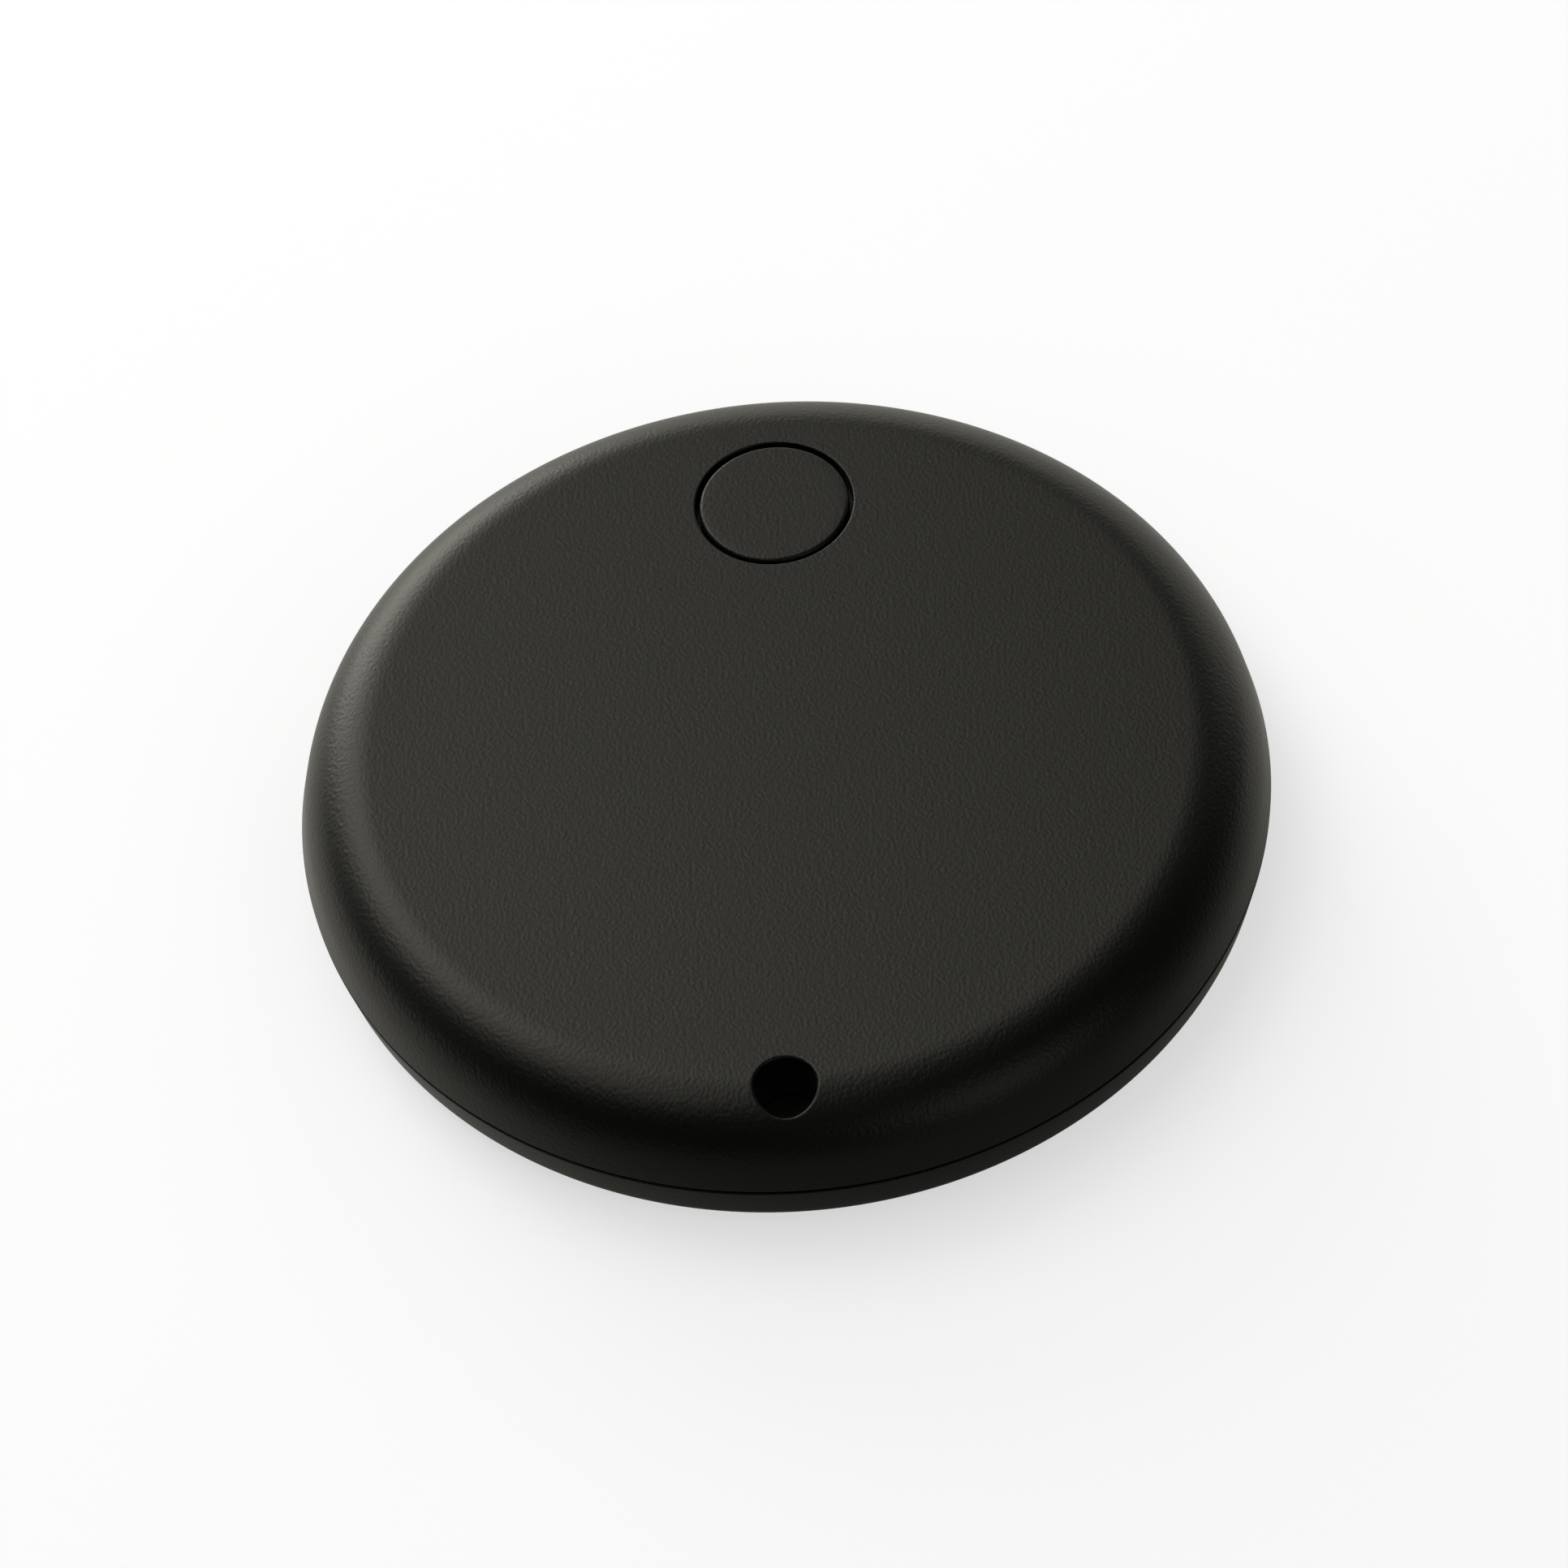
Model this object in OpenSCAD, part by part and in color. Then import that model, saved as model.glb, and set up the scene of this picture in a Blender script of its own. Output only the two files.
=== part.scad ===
// Round coin-cell tracker tag: two snap-together shells, a flush push button,
// a lanyard hole near the edge, and the board, sounder and cell inside.
// Origin: centre of the flat foot. +Z up, +Y towards the button, -Y towards the lanyard hole.

/* [Case] */
// Diameter of the case at the seam between the shells
case_d = 40; // [39.8:0.1:40.6]
// Height of the closed case
case_h = 6.4; // [6.4:0.05:6.8]
// Height of the seam above the foot
seam_z = 2.87; // [2.85:0.01:2.95]
// Radius of the soft shoulder round the top face
shoulder_r = 3.15; // [3:0.05:3.2]
// Radius of the rounded edge round the foot
foot_fillet_r = 1.6; // [1.2:0.1:1.8]
// Lean of the upper wall, in degrees from upright
upper_draft = 11.5; // [9:0.5:13]
// Lean of the lower wall, in degrees from upright
lower_draft = 11; // [8:0.5:13]
// Thickness of the top face
top_t = 0.85; // [0.8:0.05:0.85]
// Thickness of the floor
floor_t = 0.8; // [0.7:0.05:0.8]
// Height of the open line between the shells
seam_gap = 0.15; // [0.1:0.01:0.2]

/* [Button] */
// Diameter of the button's face
button_d = 6.3; // [6:0.1:6.4]
// Distance of the button from the middle of the case
button_y = 12.5; // [12.4:0.1:12.6]
// Open ring between the button and the cover
button_gap = 0.2; // [0.15:0.01:0.25]
// How far the button goes down
button_travel = 0.25; // [0.15:0.05:0.25]

/* [Lanyard hole] */
// Diameter of the hole
hole_d = 2.5; // [2:0.1:2.6]
// Distance of the hole from the middle of the case
hole_y = 17.2; // [17:0.1:17.3]
// Rounding of the hole's two mouths
hole_round = 0.25; // [0.1:0.05:0.3]

/* [Coin cell] */
// Diameter of the cell
cell_d = 20; // [19.8:0.1:20]
// Height of the cell
cell_h = 3.2; // [3.1:0.05:3.2]
// Place of the cell's centre along Y
cell_y = -2.5; // [-2.6:0.1:-2.4]

/* [Board] */
// Diameter of the circuit board
board_d = 35.2; // [34.6:0.1:35.6]
// Thickness of the circuit board
board_t = 0.6; // [0.5:0.05:0.6]
// Direction of each board screw, in degrees from +X
screw_angles = [20, 160, 255];

/* [Hidden] */
$fn = 96;
// Gap between pieces that touch or slide on each other
slip = 0.02;
case_r = case_d / 2;
ceiling_z = case_h - top_t;
shoulder_z = case_h - shoulder_r;
// Radius of the flat top face, where the shoulder starts
top_r = case_r - (shoulder_r + (shoulder_z - seam_z) * sin(upper_draft)) / cos(upper_draft);
// Radius of the flat foot, where its rounded edge starts
foot_r = case_r - (foot_fillet_r + (seam_z - foot_fillet_r) * sin(lower_draft)) / cos(lower_draft);

// Seam: the base's tongue stands inside the cover's skirt, and the skirt rests on a land
skirt_r = case_r - 0.95;
tongue_r = skirt_r - 0.05;
land_r = case_r - 0.4;
inner_r = case_r - 1.7;
tongue_z = seam_z + 0.88;
gasket_t = 0.18;
ledge_z = tongue_z + gasket_t + slip;
ledge_top_z = ledge_z + 0.5;
// Shallow bead on the tongue and groove in the skirt that click together
bead_z = seam_z + 0.45;
bead_h = 0.3;
bead_t = 0.03;

// Lanyard hole
hole_r = hole_d / 2;
hole_tube_r = hole_r + 0.9;

// Height of each layer over the floor
glue_t = 0.05;
brass_t = 0.1;
ceramic_t = 0.1;
brass_z = floor_t + glue_t;
ceramic_z = brass_z + brass_t;
board_z = 1.35;
board_top = board_z + board_t;
cell_z = board_top + 0.15;
cell_top = cell_z + cell_h;
cell_r = cell_d / 2;

// Sounder
brass_r = 7.5;
ceramic_r = 5.5;

// Board screws stand on bosses in the base
screw_ring_r = 15.6;
screw_r = 0.58;
screw_head_r = 1;
screw_head_h = 0.45;
screw_tip_z = 0.5;
boss_r = 1.3;

// Carrier ring round the cell, with pegs down into the board
carrier_r = cell_r + 0.1;
carrier_t = 0.6;
carrier_top = board_top + 2.35;
peg_angles = [35, 145, 235, 305];
peg_ring_r = 11.4;
peg_r = 0.5;
contact_window_w = 5;

// Button, its collar and its membrane
button_r = button_d / 2;
button_hole_r = button_r + button_gap;
flange_r = button_hole_r + 0.4;
flange_h = 0.38;
collar_r = flange_r + 0.15;
collar_t = 0.5;
membrane_t = 0.2;
membrane_z = ceiling_z - 1.01;
edge_round = 0.18;

// Tactile switch under the button
switch_w = 3.6;
switch_l = 3.2;
switch_h = 1;
switch_pocket_r = 1.2;
switch_pocket_z = board_top + 0.35;
frame_t = 0.1;
plunger_r = 0.8;
plunger_z = switch_pocket_z + 0.3;
plunger_top = board_top + 1.4;

// ---- Shared outlines and shapes ----

// Half outline of the closed case, from the axis outwards
module case_outline() {
    polygon([
        [0, 0],
        [foot_r, 0],
        [foot_r + foot_fillet_r * cos(lower_draft), foot_fillet_r * (1 - sin(lower_draft))],
        [case_r, seam_z],
        [top_r + shoulder_r * cos(upper_draft), shoulder_z + shoulder_r * sin(upper_draft)],
        [top_r, case_h],
        [0, case_h]
    ]);
    translate([foot_r, foot_fillet_r]) circle(foot_fillet_r);
    translate([top_r, shoulder_z]) circle(shoulder_r);
}

// Half outline of the hollow under the top face
module hollow_outline() {
    square([top_r, ceiling_z]);
    translate([top_r, shoulder_z]) circle(shoulder_r - top_t);
}

// Part of a half outline between two heights
module band(low, high) {
    intersection() {
        translate([0, low]) square([case_r + 1, high - low]);
        children();
    }
}

// Flat ring of rectangular section
module ring(outer_r, inner_r, low, high) {
    translate([0, 0, low]) difference() {
        cylinder(r = outer_r, h = high - low);
        translate([0, 0, -1]) cylinder(r = inner_r, h = high - low + 2);
    }
}

// Box centred on X and Y, standing at the height low
module block(size, low) {
    translate([-size.x / 2, -size.y / 2, low]) cube(size);
}

module at_button() { translate([0, button_y, 0]) children(); }
module at_hole() { translate([0, -hole_y, 0]) children(); }
module at_cell() { translate([0, cell_y, 0]) children(); }

// Copies round the middle of the case
module round_case(angles, radius) {
    for (a = angles) rotate([0, 0, a]) translate([radius, 0, 0]) children();
}

// Copies round the middle of the cell
module round_cell(angles, radius) {
    at_cell() round_case(angles, radius) children();
}

// Cutter for a bore whose mouth, at the height z, is rounded over; dir is 1 for a mouth facing up
module rounded_mouth(bore_r, round_r, z, dir) {
    translate([0, 0, z]) mirror([0, 0, dir > 0 ? 0 : 1]) rotate_extrude() difference() {
        translate([0, -round_r]) square([bore_r + round_r, round_r + 1]);
        translate([bore_r + round_r, -round_r]) circle(round_r);
    }
}

// ---- Lower shell and seal ----

// Lower shell: floor, drafted wall, seam tongue, screw bosses and half of the lanyard tube
module base_cover() {
    color([0.16, 0.16, 0.15]) difference() {
        union() {
            rotate_extrude() difference() {
                union() {
                    band(0, seam_z - seam_gap / 2) case_outline();
                    translate([0, 1]) square([land_r, seam_z + seam_gap / 2 - slip - 1]);
                    translate([0, 1]) square([tongue_r, tongue_z - 1]);
                    translate([0, bead_z - bead_h / 2]) square([tongue_r + bead_t, bead_h]);
                }
                translate([-1, floor_t]) square([inner_r + 1, case_h]);
            }
            intersection() {
                at_hole() cylinder(r = hole_tube_r, h = tongue_z);
                translate([0, 0, floor_t / 2]) cylinder(r = tongue_r, h = case_h);
            }
            round_case(screw_angles, screw_ring_r)
                translate([0, 0, floor_t / 2]) cylinder(r = boss_r, h = board_z - floor_t / 2);
            round_case([for (a = screw_angles) a + 55], screw_ring_r)
                translate([0, 0, floor_t / 2]) cylinder(r = boss_r / 2, h = board_z - floor_t / 2);
        }
        round_case(screw_angles, screw_ring_r)
            translate([0, 0, screw_tip_z - 0.05]) cylinder(r = screw_r + slip, h = 2);
        at_hole() translate([0, 0, -1]) cylinder(r = hole_r, h = case_h);
        at_hole() rounded_mouth(hole_r, hole_round, 0, -1);
        // Shallow round recess in the middle of the foot
        translate([0, 0, -1]) cylinder(r = case_r * 0.55, h = 1.15);
    }
}

// Flat silicone ring on the tongue, with an eyelet round the lanyard hole
module sealing_gasket() {
    color([0.55, 0.56, 0.56]) difference() {
        union() {
            ring(tongue_r - 0.05, inner_r + 0.05, tongue_z, tongue_z + gasket_t);
            intersection() {
                at_hole() translate([0, 0, tongue_z]) cylinder(r = hole_tube_r - 0.05, h = gasket_t);
                translate([0, 0, tongue_z]) cylinder(r = tongue_r - 0.05, h = gasket_t);
            }
        }
        at_hole() translate([0, 0, tongue_z - 1]) cylinder(r = hole_r + 0.15, h = 3);
    }
}

// ---- Sounder ----

module piezo_adhesive() {
    color([0.85, 0.83, 0.75]) at_cell() ring(brass_r, brass_r - 1.2, floor_t, floor_t + glue_t);
}

module piezo_plate() {
    color([0.82, 0.66, 0.34]) at_cell() translate([0, 0, brass_z]) cylinder(r = brass_r, h = brass_t);
}

module piezo_ceramic() {
    color([0.88, 0.88, 0.86]) at_cell() translate([0, 0, ceramic_z])
        cylinder(r = ceramic_r, h = ceramic_t);
}

// Two small gold springs from the underside of the board, to the ceramic and to the brass
module piezo_contacts() {
    color([0.85, 0.7, 0.35]) at_cell() {
        for (spot = [[0, ceramic_z + ceramic_t], [(brass_r + ceramic_r) / 2, brass_z + brass_t]])
            translate([spot.x, 0, 0]) {
                translate([0, 0, board_z - 0.12]) cylinder(r = 0.75, h = 0.12);
                translate([0, 0, spot.y]) cylinder(r = 0.4, h = board_z - spot.y);
            }
    }
}

// ---- Board ----

// Round board with a notch for the lanyard tube and holes for the screws and pegs
module circuit_board() {
    color([0.05, 0.28, 0.16]) difference() {
        translate([0, 0, board_z]) cylinder(d = board_d, h = board_t);
        at_hole() translate([0, 0, board_z - 1]) cylinder(r = hole_tube_r + 0.2, h = 3);
        round_case(screw_angles, screw_ring_r)
            translate([0, 0, board_z - 1]) cylinder(r = screw_r + 0.1, h = 3);
        round_cell(peg_angles, peg_ring_r)
            translate([0, 0, board_z - 1]) cylinder(r = peg_r + slip, h = 3);
    }
}

module board_screws() {
    color([0.75, 0.75, 0.74]) round_case(screw_angles, screw_ring_r) difference() {
        union() {
            translate([0, 0, board_top]) cylinder(r = screw_head_r, h = screw_head_h);
            translate([0, 0, screw_tip_z]) cylinder(r = screw_r, h = board_top - screw_tip_z);
        }
        for (turn = [0, 90]) rotate([0, 0, turn]) block([1.2, 0.22, 1], board_top + 0.2);
    }
}

module radio_chip() {
    color([0.1, 0.1, 0.11]) translate([-9.5, 9.5, 0]) difference() {
        block([5, 5, 0.85], board_top);
        translate([-1.8, 1.8, board_top + 0.8]) cylinder(r = 0.3, h = 1);
    }
}

module driver_chip() {
    color([0.12, 0.12, 0.13]) translate([14, -5, 0]) {
        block([2, 3, 0.9], board_top + 0.05);
        for (side = [-1, 1], y = [-1, 0, 1])
            translate([side * 1.3, y * 0.95, 0]) block([0.62, 0.4, 0.3], board_top);
    }
}

// Wound coil that steps the voltage up for the sounder
module buzzer_coil() {
    color([0.25, 0.25, 0.26]) translate([9.5, 9, board_top]) {
        cylinder(r = 2, h = 0.35);
        cylinder(r = 1.5, h = 1.6);
        translate([0, 0, 1.45]) cylinder(r = 2, h = 0.35);
    }
}

module main_crystal() {
    color([0.8, 0.8, 0.78]) translate([-4.9, 12.8, 0]) {
        block([2.5, 2, 0.3], board_top);
        block([2.2, 1.7, 0.55], board_top);
    }
}

module clock_crystal() {
    color([0.78, 0.76, 0.7]) translate([-14.2, -2.5, 0]) {
        block([1.5, 3.2, 0.4], board_top);
        block([1.2, 2.9, 0.75], board_top);
    }
}

module chip_antenna() {
    color([0.86, 0.87, 0.84]) rotate([0, 0, -19.4]) translate([0, 15.05, 0]) {
        block([2.6, 1.6, 1.1], board_top);
        for (side = [-1, 1]) translate([side * 1.45, 0, 0]) block([0.3, 1.6, 1.1], board_top);
    }
}

// Small two-ended chip part lying along the ring
module chip_part(height) {
    block([0.5, 1, height], board_top);
}

module capacitors() {
    color([0.66, 0.52, 0.36]) {
        round_case([186 : 6 : 216], 16.1) chip_part(0.5);
        round_case([302 : 8 : 326], 15.8) chip_part(0.5);
        translate([-9.5, 9.5, 0]) for (x = [-1.6, 0, 1.6]) translate([x, -3.4, 0]) chip_part(0.5);
    }
}

module resistors() {
    color([0.1, 0.1, 0.1]) {
        round_case([205 : 7 : 226], 14) chip_part(0.35);
        round_case([66, 75], 13.9) chip_part(0.35);
    }
}

// ---- Switch under the button ----

module switch_body() {
    color([0.12, 0.12, 0.12]) at_button() difference() {
        block([switch_w, switch_l, switch_h], board_top);
        translate([0, 0, switch_pocket_z]) cylinder(r = switch_pocket_r, h = 2);
    }
}

// Thin domed steel disc that gives the click and springs the plunger back
module switch_dome() {
    dome_r = 4;
    dome_t = 0.08;
    rim_r = 1.1;
    color([0.75, 0.75, 0.75]) at_button()
        translate([0, 0, switch_pocket_z + slip - sqrt(dome_r * dome_r - rim_r * rim_r) + dome_t])
        rotate_extrude() intersection() {
            difference() {
                circle(dome_r);
                circle(dome_r - dome_t);
            }
            translate([0, dome_r - 1]) square([rim_r, 2]);
        }
}

// Steel plate over the switch, with a leg down each end
module switch_frame() {
    low = board_top + switch_h;
    color([0.8, 0.8, 0.8]) at_button() {
        difference() {
            block([switch_w, switch_l, frame_t], low);
            translate([0, 0, low - 1]) cylinder(r = plunger_r + 0.1, h = 2);
        }
        for (side = [-1, 1], y = [-1, 1])
            translate([side * (switch_w + frame_t) / 2, y, 0])
                block([frame_t, 0.8, switch_h + frame_t], board_top);
    }
}

module switch_plunger() {
    color([0.85, 0.84, 0.8]) at_button() {
        translate([0, 0, plunger_z]) cylinder(r = plunger_r, h = plunger_top - plunger_z);
        translate([0, 0, plunger_z]) cylinder(r = switch_pocket_r - 0.1, h = 0.3);
    }
}

// ---- Cell seat ----

// Plastic ring that holds the cell, with four pegs through the board
module cell_carrier() {
    color([0.9, 0.9, 0.88]) {
        difference() {
            union() {
                at_cell() ring(carrier_r + carrier_t, carrier_r, board_top, carrier_top);
                round_cell(peg_angles, peg_ring_r)
                    translate([0, 0, board_top]) cylinder(r = 1, h = 0.8);
                round_cell(peg_angles, peg_ring_r)
                    translate([0, 0, board_z + 0.05]) cylinder(r = peg_r, h = board_t);
            }
            at_cell() translate([0, 0, board_top - 1]) cylinder(r = carrier_r, h = case_h);
            // Window for the side contact, and a notch to get a fingernail under the cell
            at_cell() translate([carrier_r, 0, 0])
                block([4, contact_window_w, case_h], board_top - 1);
            at_cell() translate([-carrier_r, 0, 0]) block([4, 7, case_h], board_top + 0.9);
        }
    }
}

// Sprung side contact against the can of the cell
module positive_contact() {
    color([0.86, 0.8, 0.6]) at_cell() {
        translate([cell_r + slip, -2, board_top]) cube([0.15, 4, carrier_top - board_top]);
        translate([cell_r + slip, -2, board_top]) cube([2, 4, 0.15]);
        translate([cell_r + slip, -2, carrier_top - 0.15]) cube([0.5, 4, 0.15]);
    }
}

// Low leaf contact under the cell, with two raised tips
module negative_contact() {
    color([0.86, 0.8, 0.6]) at_cell() {
        block([9, 2.4, 0.07], board_top);
        block([2.4, 6, 0.07], board_top);
        for (side = [-1, 1]) translate([side * 3.4, 0, 0])
            translate([0, 0, board_top]) cylinder(r = 0.8, h = 0.15 - slip);
    }
}

// ---- Coin cell ----

// Steel can, plus side up, with its lower edge crimped inwards
module cell_can() {
    can_t = 0.25;
    color([0.82, 0.82, 0.82]) at_cell() translate([0, 0, cell_z]) rotate_extrude() difference() {
        union() {
            translate([0, 0.25]) square([cell_r - 0.4, cell_h - 0.25]);
            translate([0, 0.65]) square([cell_r, cell_h - 1.05]);
            translate([cell_r - 0.4, 0.65]) circle(0.4);
            translate([cell_r - 0.4, cell_h - 0.4]) circle(0.4);
        }
        translate([-1, 0]) square([cell_r - 0.8 + 1, 1]);
        translate([-1, 0.5]) square([cell_r - can_t + 1, cell_h - can_t - 0.5]);
    }
}

// Steel lid of the cell, minus side down
module cell_cap() {
    color([0.8, 0.8, 0.79]) at_cell() translate([0, 0, cell_z]) rotate_extrude() difference() {
        union() {
            square([cell_r - 1.35, 0.25]);
            translate([0, 0.15]) square([cell_r - 1.1, 1]);
        }
        translate([-1, 0.25]) square([cell_r - 1.35 + 1, 2]);
    }
}

// Insulating ring between can and lid
module cell_seal() {
    color([0.15, 0.15, 0.15]) at_cell() translate([0, 0, cell_z]) rotate_extrude() {
        translate([cell_r - 1.08, 0.2]) square([0.26, 0.95]);
        translate([cell_r - 1.08, 0.52]) square([0.81, 0.63]);
    }
}

module cell_anode() {
    color([0.72, 0.72, 0.72]) at_cell() translate([0, 0, cell_z + 0.27]) cylinder(r = cell_r - 1.5, h = 0.6);
}

module cell_separator() {
    color([0.95, 0.95, 0.93]) at_cell() translate([0, 0, cell_z + 1.17]) cylinder(r = cell_r - 0.3, h = 0.1);
}

module cell_cathode() {
    color([0.08, 0.08, 0.08]) at_cell() translate([0, 0, cell_z + 1.29])
        cylinder(r = cell_r - 1, h = cell_h - 0.25 - 1.31);
}

// ---- Upper shell and button ----

// Upper shell: flat top, soft shoulder, skirt over the tongue, button collar and lanyard tube
module top_cover() {
    color([0.19, 0.19, 0.18]) difference() {
        union() {
            rotate_extrude() difference() {
                band(seam_z + seam_gap / 2, case_h) case_outline();
                band(ledge_top_z, ceiling_z) hollow_outline();
                square([inner_r - 0.1, ledge_top_z]);
                square([skirt_r, ledge_z]);
                translate([0, bead_z - bead_h / 2 - 0.05]) square([skirt_r + 0.05, bead_h + 0.1]);
            }
            at_button() ring(collar_r + collar_t, collar_r, membrane_z + membrane_t, ceiling_z + top_t / 2);
            intersection() {
                at_hole() translate([0, 0, ledge_z]) cylinder(r = hole_tube_r, h = case_h);
                rotate_extrude() band(ledge_z, case_h) case_outline();
                cylinder(r = skirt_r, h = case_h);
            }
        }
        at_button() cylinder(r = button_hole_r, h = case_h + 1);
        at_button() rounded_mouth(button_hole_r, edge_round, case_h, 1);
        at_hole() cylinder(r = hole_r, h = case_h + 1);
        at_hole() rounded_mouth(hole_r, hole_round, case_h, 1);
    }
}

// Soft pad under the top face that keeps the cell still
module foam_pad() {
    color([0.25, 0.25, 0.27]) at_cell() translate([0, 0, cell_top + slip])
        cylinder(r = 5, h = ceiling_z - cell_top - slip);
}

// Hard cap flush with the top face, with a flange that keeps it in
module button_cap() {
    color([0.2, 0.2, 0.19]) at_button() rotate_extrude() {
        translate([0, ceiling_z - 0.1]) square([button_r, top_t + 0.1 - edge_round]);
        translate([0, case_h - 2 * edge_round]) square([button_r - edge_round, 2 * edge_round]);
        translate([button_r - edge_round, case_h - edge_round]) circle(edge_round);
        translate([0, ceiling_z - slip - flange_h]) square([flange_r, flange_h]);
        translate([0, membrane_z + membrane_t]) square([1.3, 0.5]);
    }
}

// Silicone membrane that seals and returns the button, with a pip down to the switch
module button_membrane() {
    color([0.4, 0.4, 0.42]) at_button() rotate_extrude() {
        translate([0, membrane_z]) square([collar_r + collar_t, membrane_t - slip / 2]);
        translate([0, plunger_top + slip]) square([0.9, membrane_z - plunger_top]);
        translate([0, membrane_z]) square([1.3, membrane_t]);
    }
}

base_cover();
sealing_gasket();
piezo_adhesive();
piezo_plate();
piezo_ceramic();
piezo_contacts();
circuit_board();
board_screws();
radio_chip();
driver_chip();
buzzer_coil();
main_crystal();
clock_crystal();
chip_antenna();
capacitors();
resistors();
switch_body();
switch_dome();
switch_frame();
switch_plunger();
cell_carrier();
positive_contact();
negative_contact();
cell_can();
cell_cap();
cell_seal();
cell_cathode();
cell_separator();
cell_anode();
top_cover();
foam_pad();
button_cap();
button_membrane();
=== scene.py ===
# Round coin-cell tracker tag in black moulded plastic, on a pale table.
import math

import bpy
import bmesh
from mathutils import Matrix, Vector, geometry


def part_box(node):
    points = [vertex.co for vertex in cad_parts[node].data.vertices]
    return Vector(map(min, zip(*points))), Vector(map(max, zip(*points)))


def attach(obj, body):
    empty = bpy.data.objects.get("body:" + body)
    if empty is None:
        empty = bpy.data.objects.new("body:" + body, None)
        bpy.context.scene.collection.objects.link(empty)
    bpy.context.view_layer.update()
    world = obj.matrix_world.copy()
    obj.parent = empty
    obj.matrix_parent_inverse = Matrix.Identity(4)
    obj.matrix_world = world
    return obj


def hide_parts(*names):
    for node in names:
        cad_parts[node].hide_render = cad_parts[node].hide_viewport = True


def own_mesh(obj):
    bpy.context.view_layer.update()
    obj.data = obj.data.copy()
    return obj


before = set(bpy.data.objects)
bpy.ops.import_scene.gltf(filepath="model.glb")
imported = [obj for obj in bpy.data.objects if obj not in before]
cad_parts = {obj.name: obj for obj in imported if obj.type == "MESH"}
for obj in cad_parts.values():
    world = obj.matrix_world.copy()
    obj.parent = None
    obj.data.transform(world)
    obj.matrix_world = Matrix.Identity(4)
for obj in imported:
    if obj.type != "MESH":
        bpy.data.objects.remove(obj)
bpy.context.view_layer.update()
MM = 0.001
scene = bpy.context.scene

# ---- Camera ----
# It looks down on the tag from above the lanyard hole, a hand's length away, with a slight tilt.
EYE = Vector((11.19, -147.6, 193.28)) * MM
AIM = Vector((0, 0, 3.2)) * MM
camera = bpy.data.objects.new("camera", bpy.data.cameras.new("camera"))
scene.collection.objects.link(camera)
camera.data.sensor_width = 36
camera.data.lens = 134.4
camera.data.clip_start = 1 * MM
camera.data.clip_end = 10
camera.location = EYE
upright = (AIM - EYE).to_track_quat("-Z", "Y").to_matrix().to_4x4()
camera.rotation_euler = (upright @ Matrix.Rotation(math.radians(-6.62), 4, "Z")).to_euler()
scene.camera = camera
scene.view_settings.view_transform = "Standard"

# ---- Table and lamps ----
# A pale matt table without an edge, one wide low lamp behind and to the left, and a few weaker ones.
# The table looks bright to the eye: it is lit and also glows though it is no lamp. Its glow is dimmed
# near the tag by ambient occlusion as a painted contact shadow, and raised far off as painted light.
# It gives the tag only a little light back, as a painted glow that is weaker at the front, and it has
# a painted glow under the foot.


def new_material(name):
    """Material with a Principled shader, its node tree and that shader."""
    if name in bpy.data.materials:
        bpy.data.materials[name].name = "plain_" + name
    material = bpy.data.materials.new(name)
    material.use_nodes = True
    return material, material.node_tree, material.node_tree.nodes["Principled BSDF"]


def between(group, factor, low, high, start=0.3, end=0.7, eased=False):
    """A value that goes from low to high, numbers or sockets, as the factor goes from start to end."""
    ramp = group.nodes.new("ShaderNodeMapRange")
    ramp.interpolation_type = "SMOOTHSTEP" if eased else "LINEAR"
    ramp.inputs["From Min"].default_value = start
    ramp.inputs["From Max"].default_value = end
    group.links.new(factor, ramp.inputs["Value"])
    for socket, value in (("To Min", low), ("To Max", high)):
        if isinstance(value, (int, float)):
            ramp.inputs[socket].default_value = value
        else:
            group.links.new(value, ramp.inputs[socket])
    return ramp.outputs["Result"]


def total(group, first, second):
    """The sum of two values."""
    plus = group.nodes.new("ShaderNodeMath")
    group.links.new(first, plus.inputs[0])
    group.links.new(second, plus.inputs[1])
    return plus.outputs["Value"]


LAMP_TINT = (1.0, 0.985, 0.89)
TABLE_REACH = 3.0
TABLE_Z = -0.02 * MM
CONTACT_REACH = 12 * MM
CONTACT_GLOW = (0.60, 0.73)
FAR_SPAN = (0.08, 0.55)
FAR_GLOW = 0.23
BOUNCE_TURN = math.radians(108)
BOUNCE_SPAN = (-25 * MM, 12 * MM)
BOUNCE_GLOW = (0.06, 0.71)
UNDER_SPAN = (16.5 * MM, 18 * MM)
UNDER_GLOW = 1.3
table_mesh = bpy.data.meshes.new("table")
table_mesh.from_pydata([(-TABLE_REACH, -TABLE_REACH, TABLE_Z), (TABLE_REACH, -TABLE_REACH, TABLE_Z),
                        (TABLE_REACH, TABLE_REACH, TABLE_Z), (-TABLE_REACH, TABLE_REACH, TABLE_Z)],
                       [], [(0, 1, 2, 3)])
table = bpy.data.objects.new("table", table_mesh)
scene.collection.objects.link(table)
table_material, tree, seen_table = new_material("table_top")
nodes, link = tree.nodes, tree.links.new
seen_table.inputs["Base Color"].default_value = (0.58, 0.59, 0.64, 1)
seen_table.inputs["Roughness"].default_value = 1
seen_table.inputs["Specular IOR Level"].default_value = 0
seen_table.inputs["Emission Color"].default_value = (1, 1, 1, 1)
contact = nodes.new("ShaderNodeAmbientOcclusion")
contact.inputs["Distance"].default_value = CONTACT_REACH
place = nodes.new("ShaderNodeTexCoord")
from_middle = nodes.new("ShaderNodeVectorMath")
from_middle.operation = "LENGTH"
link(place.outputs["Object"], from_middle.inputs[0])
# Painted contact shadow: the table's glow is dimmed where ambient occlusion finds the tag close by.
near_glow = between(tree, contact.outputs["AO"], *CONTACT_GLOW, 0, 1)
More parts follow.
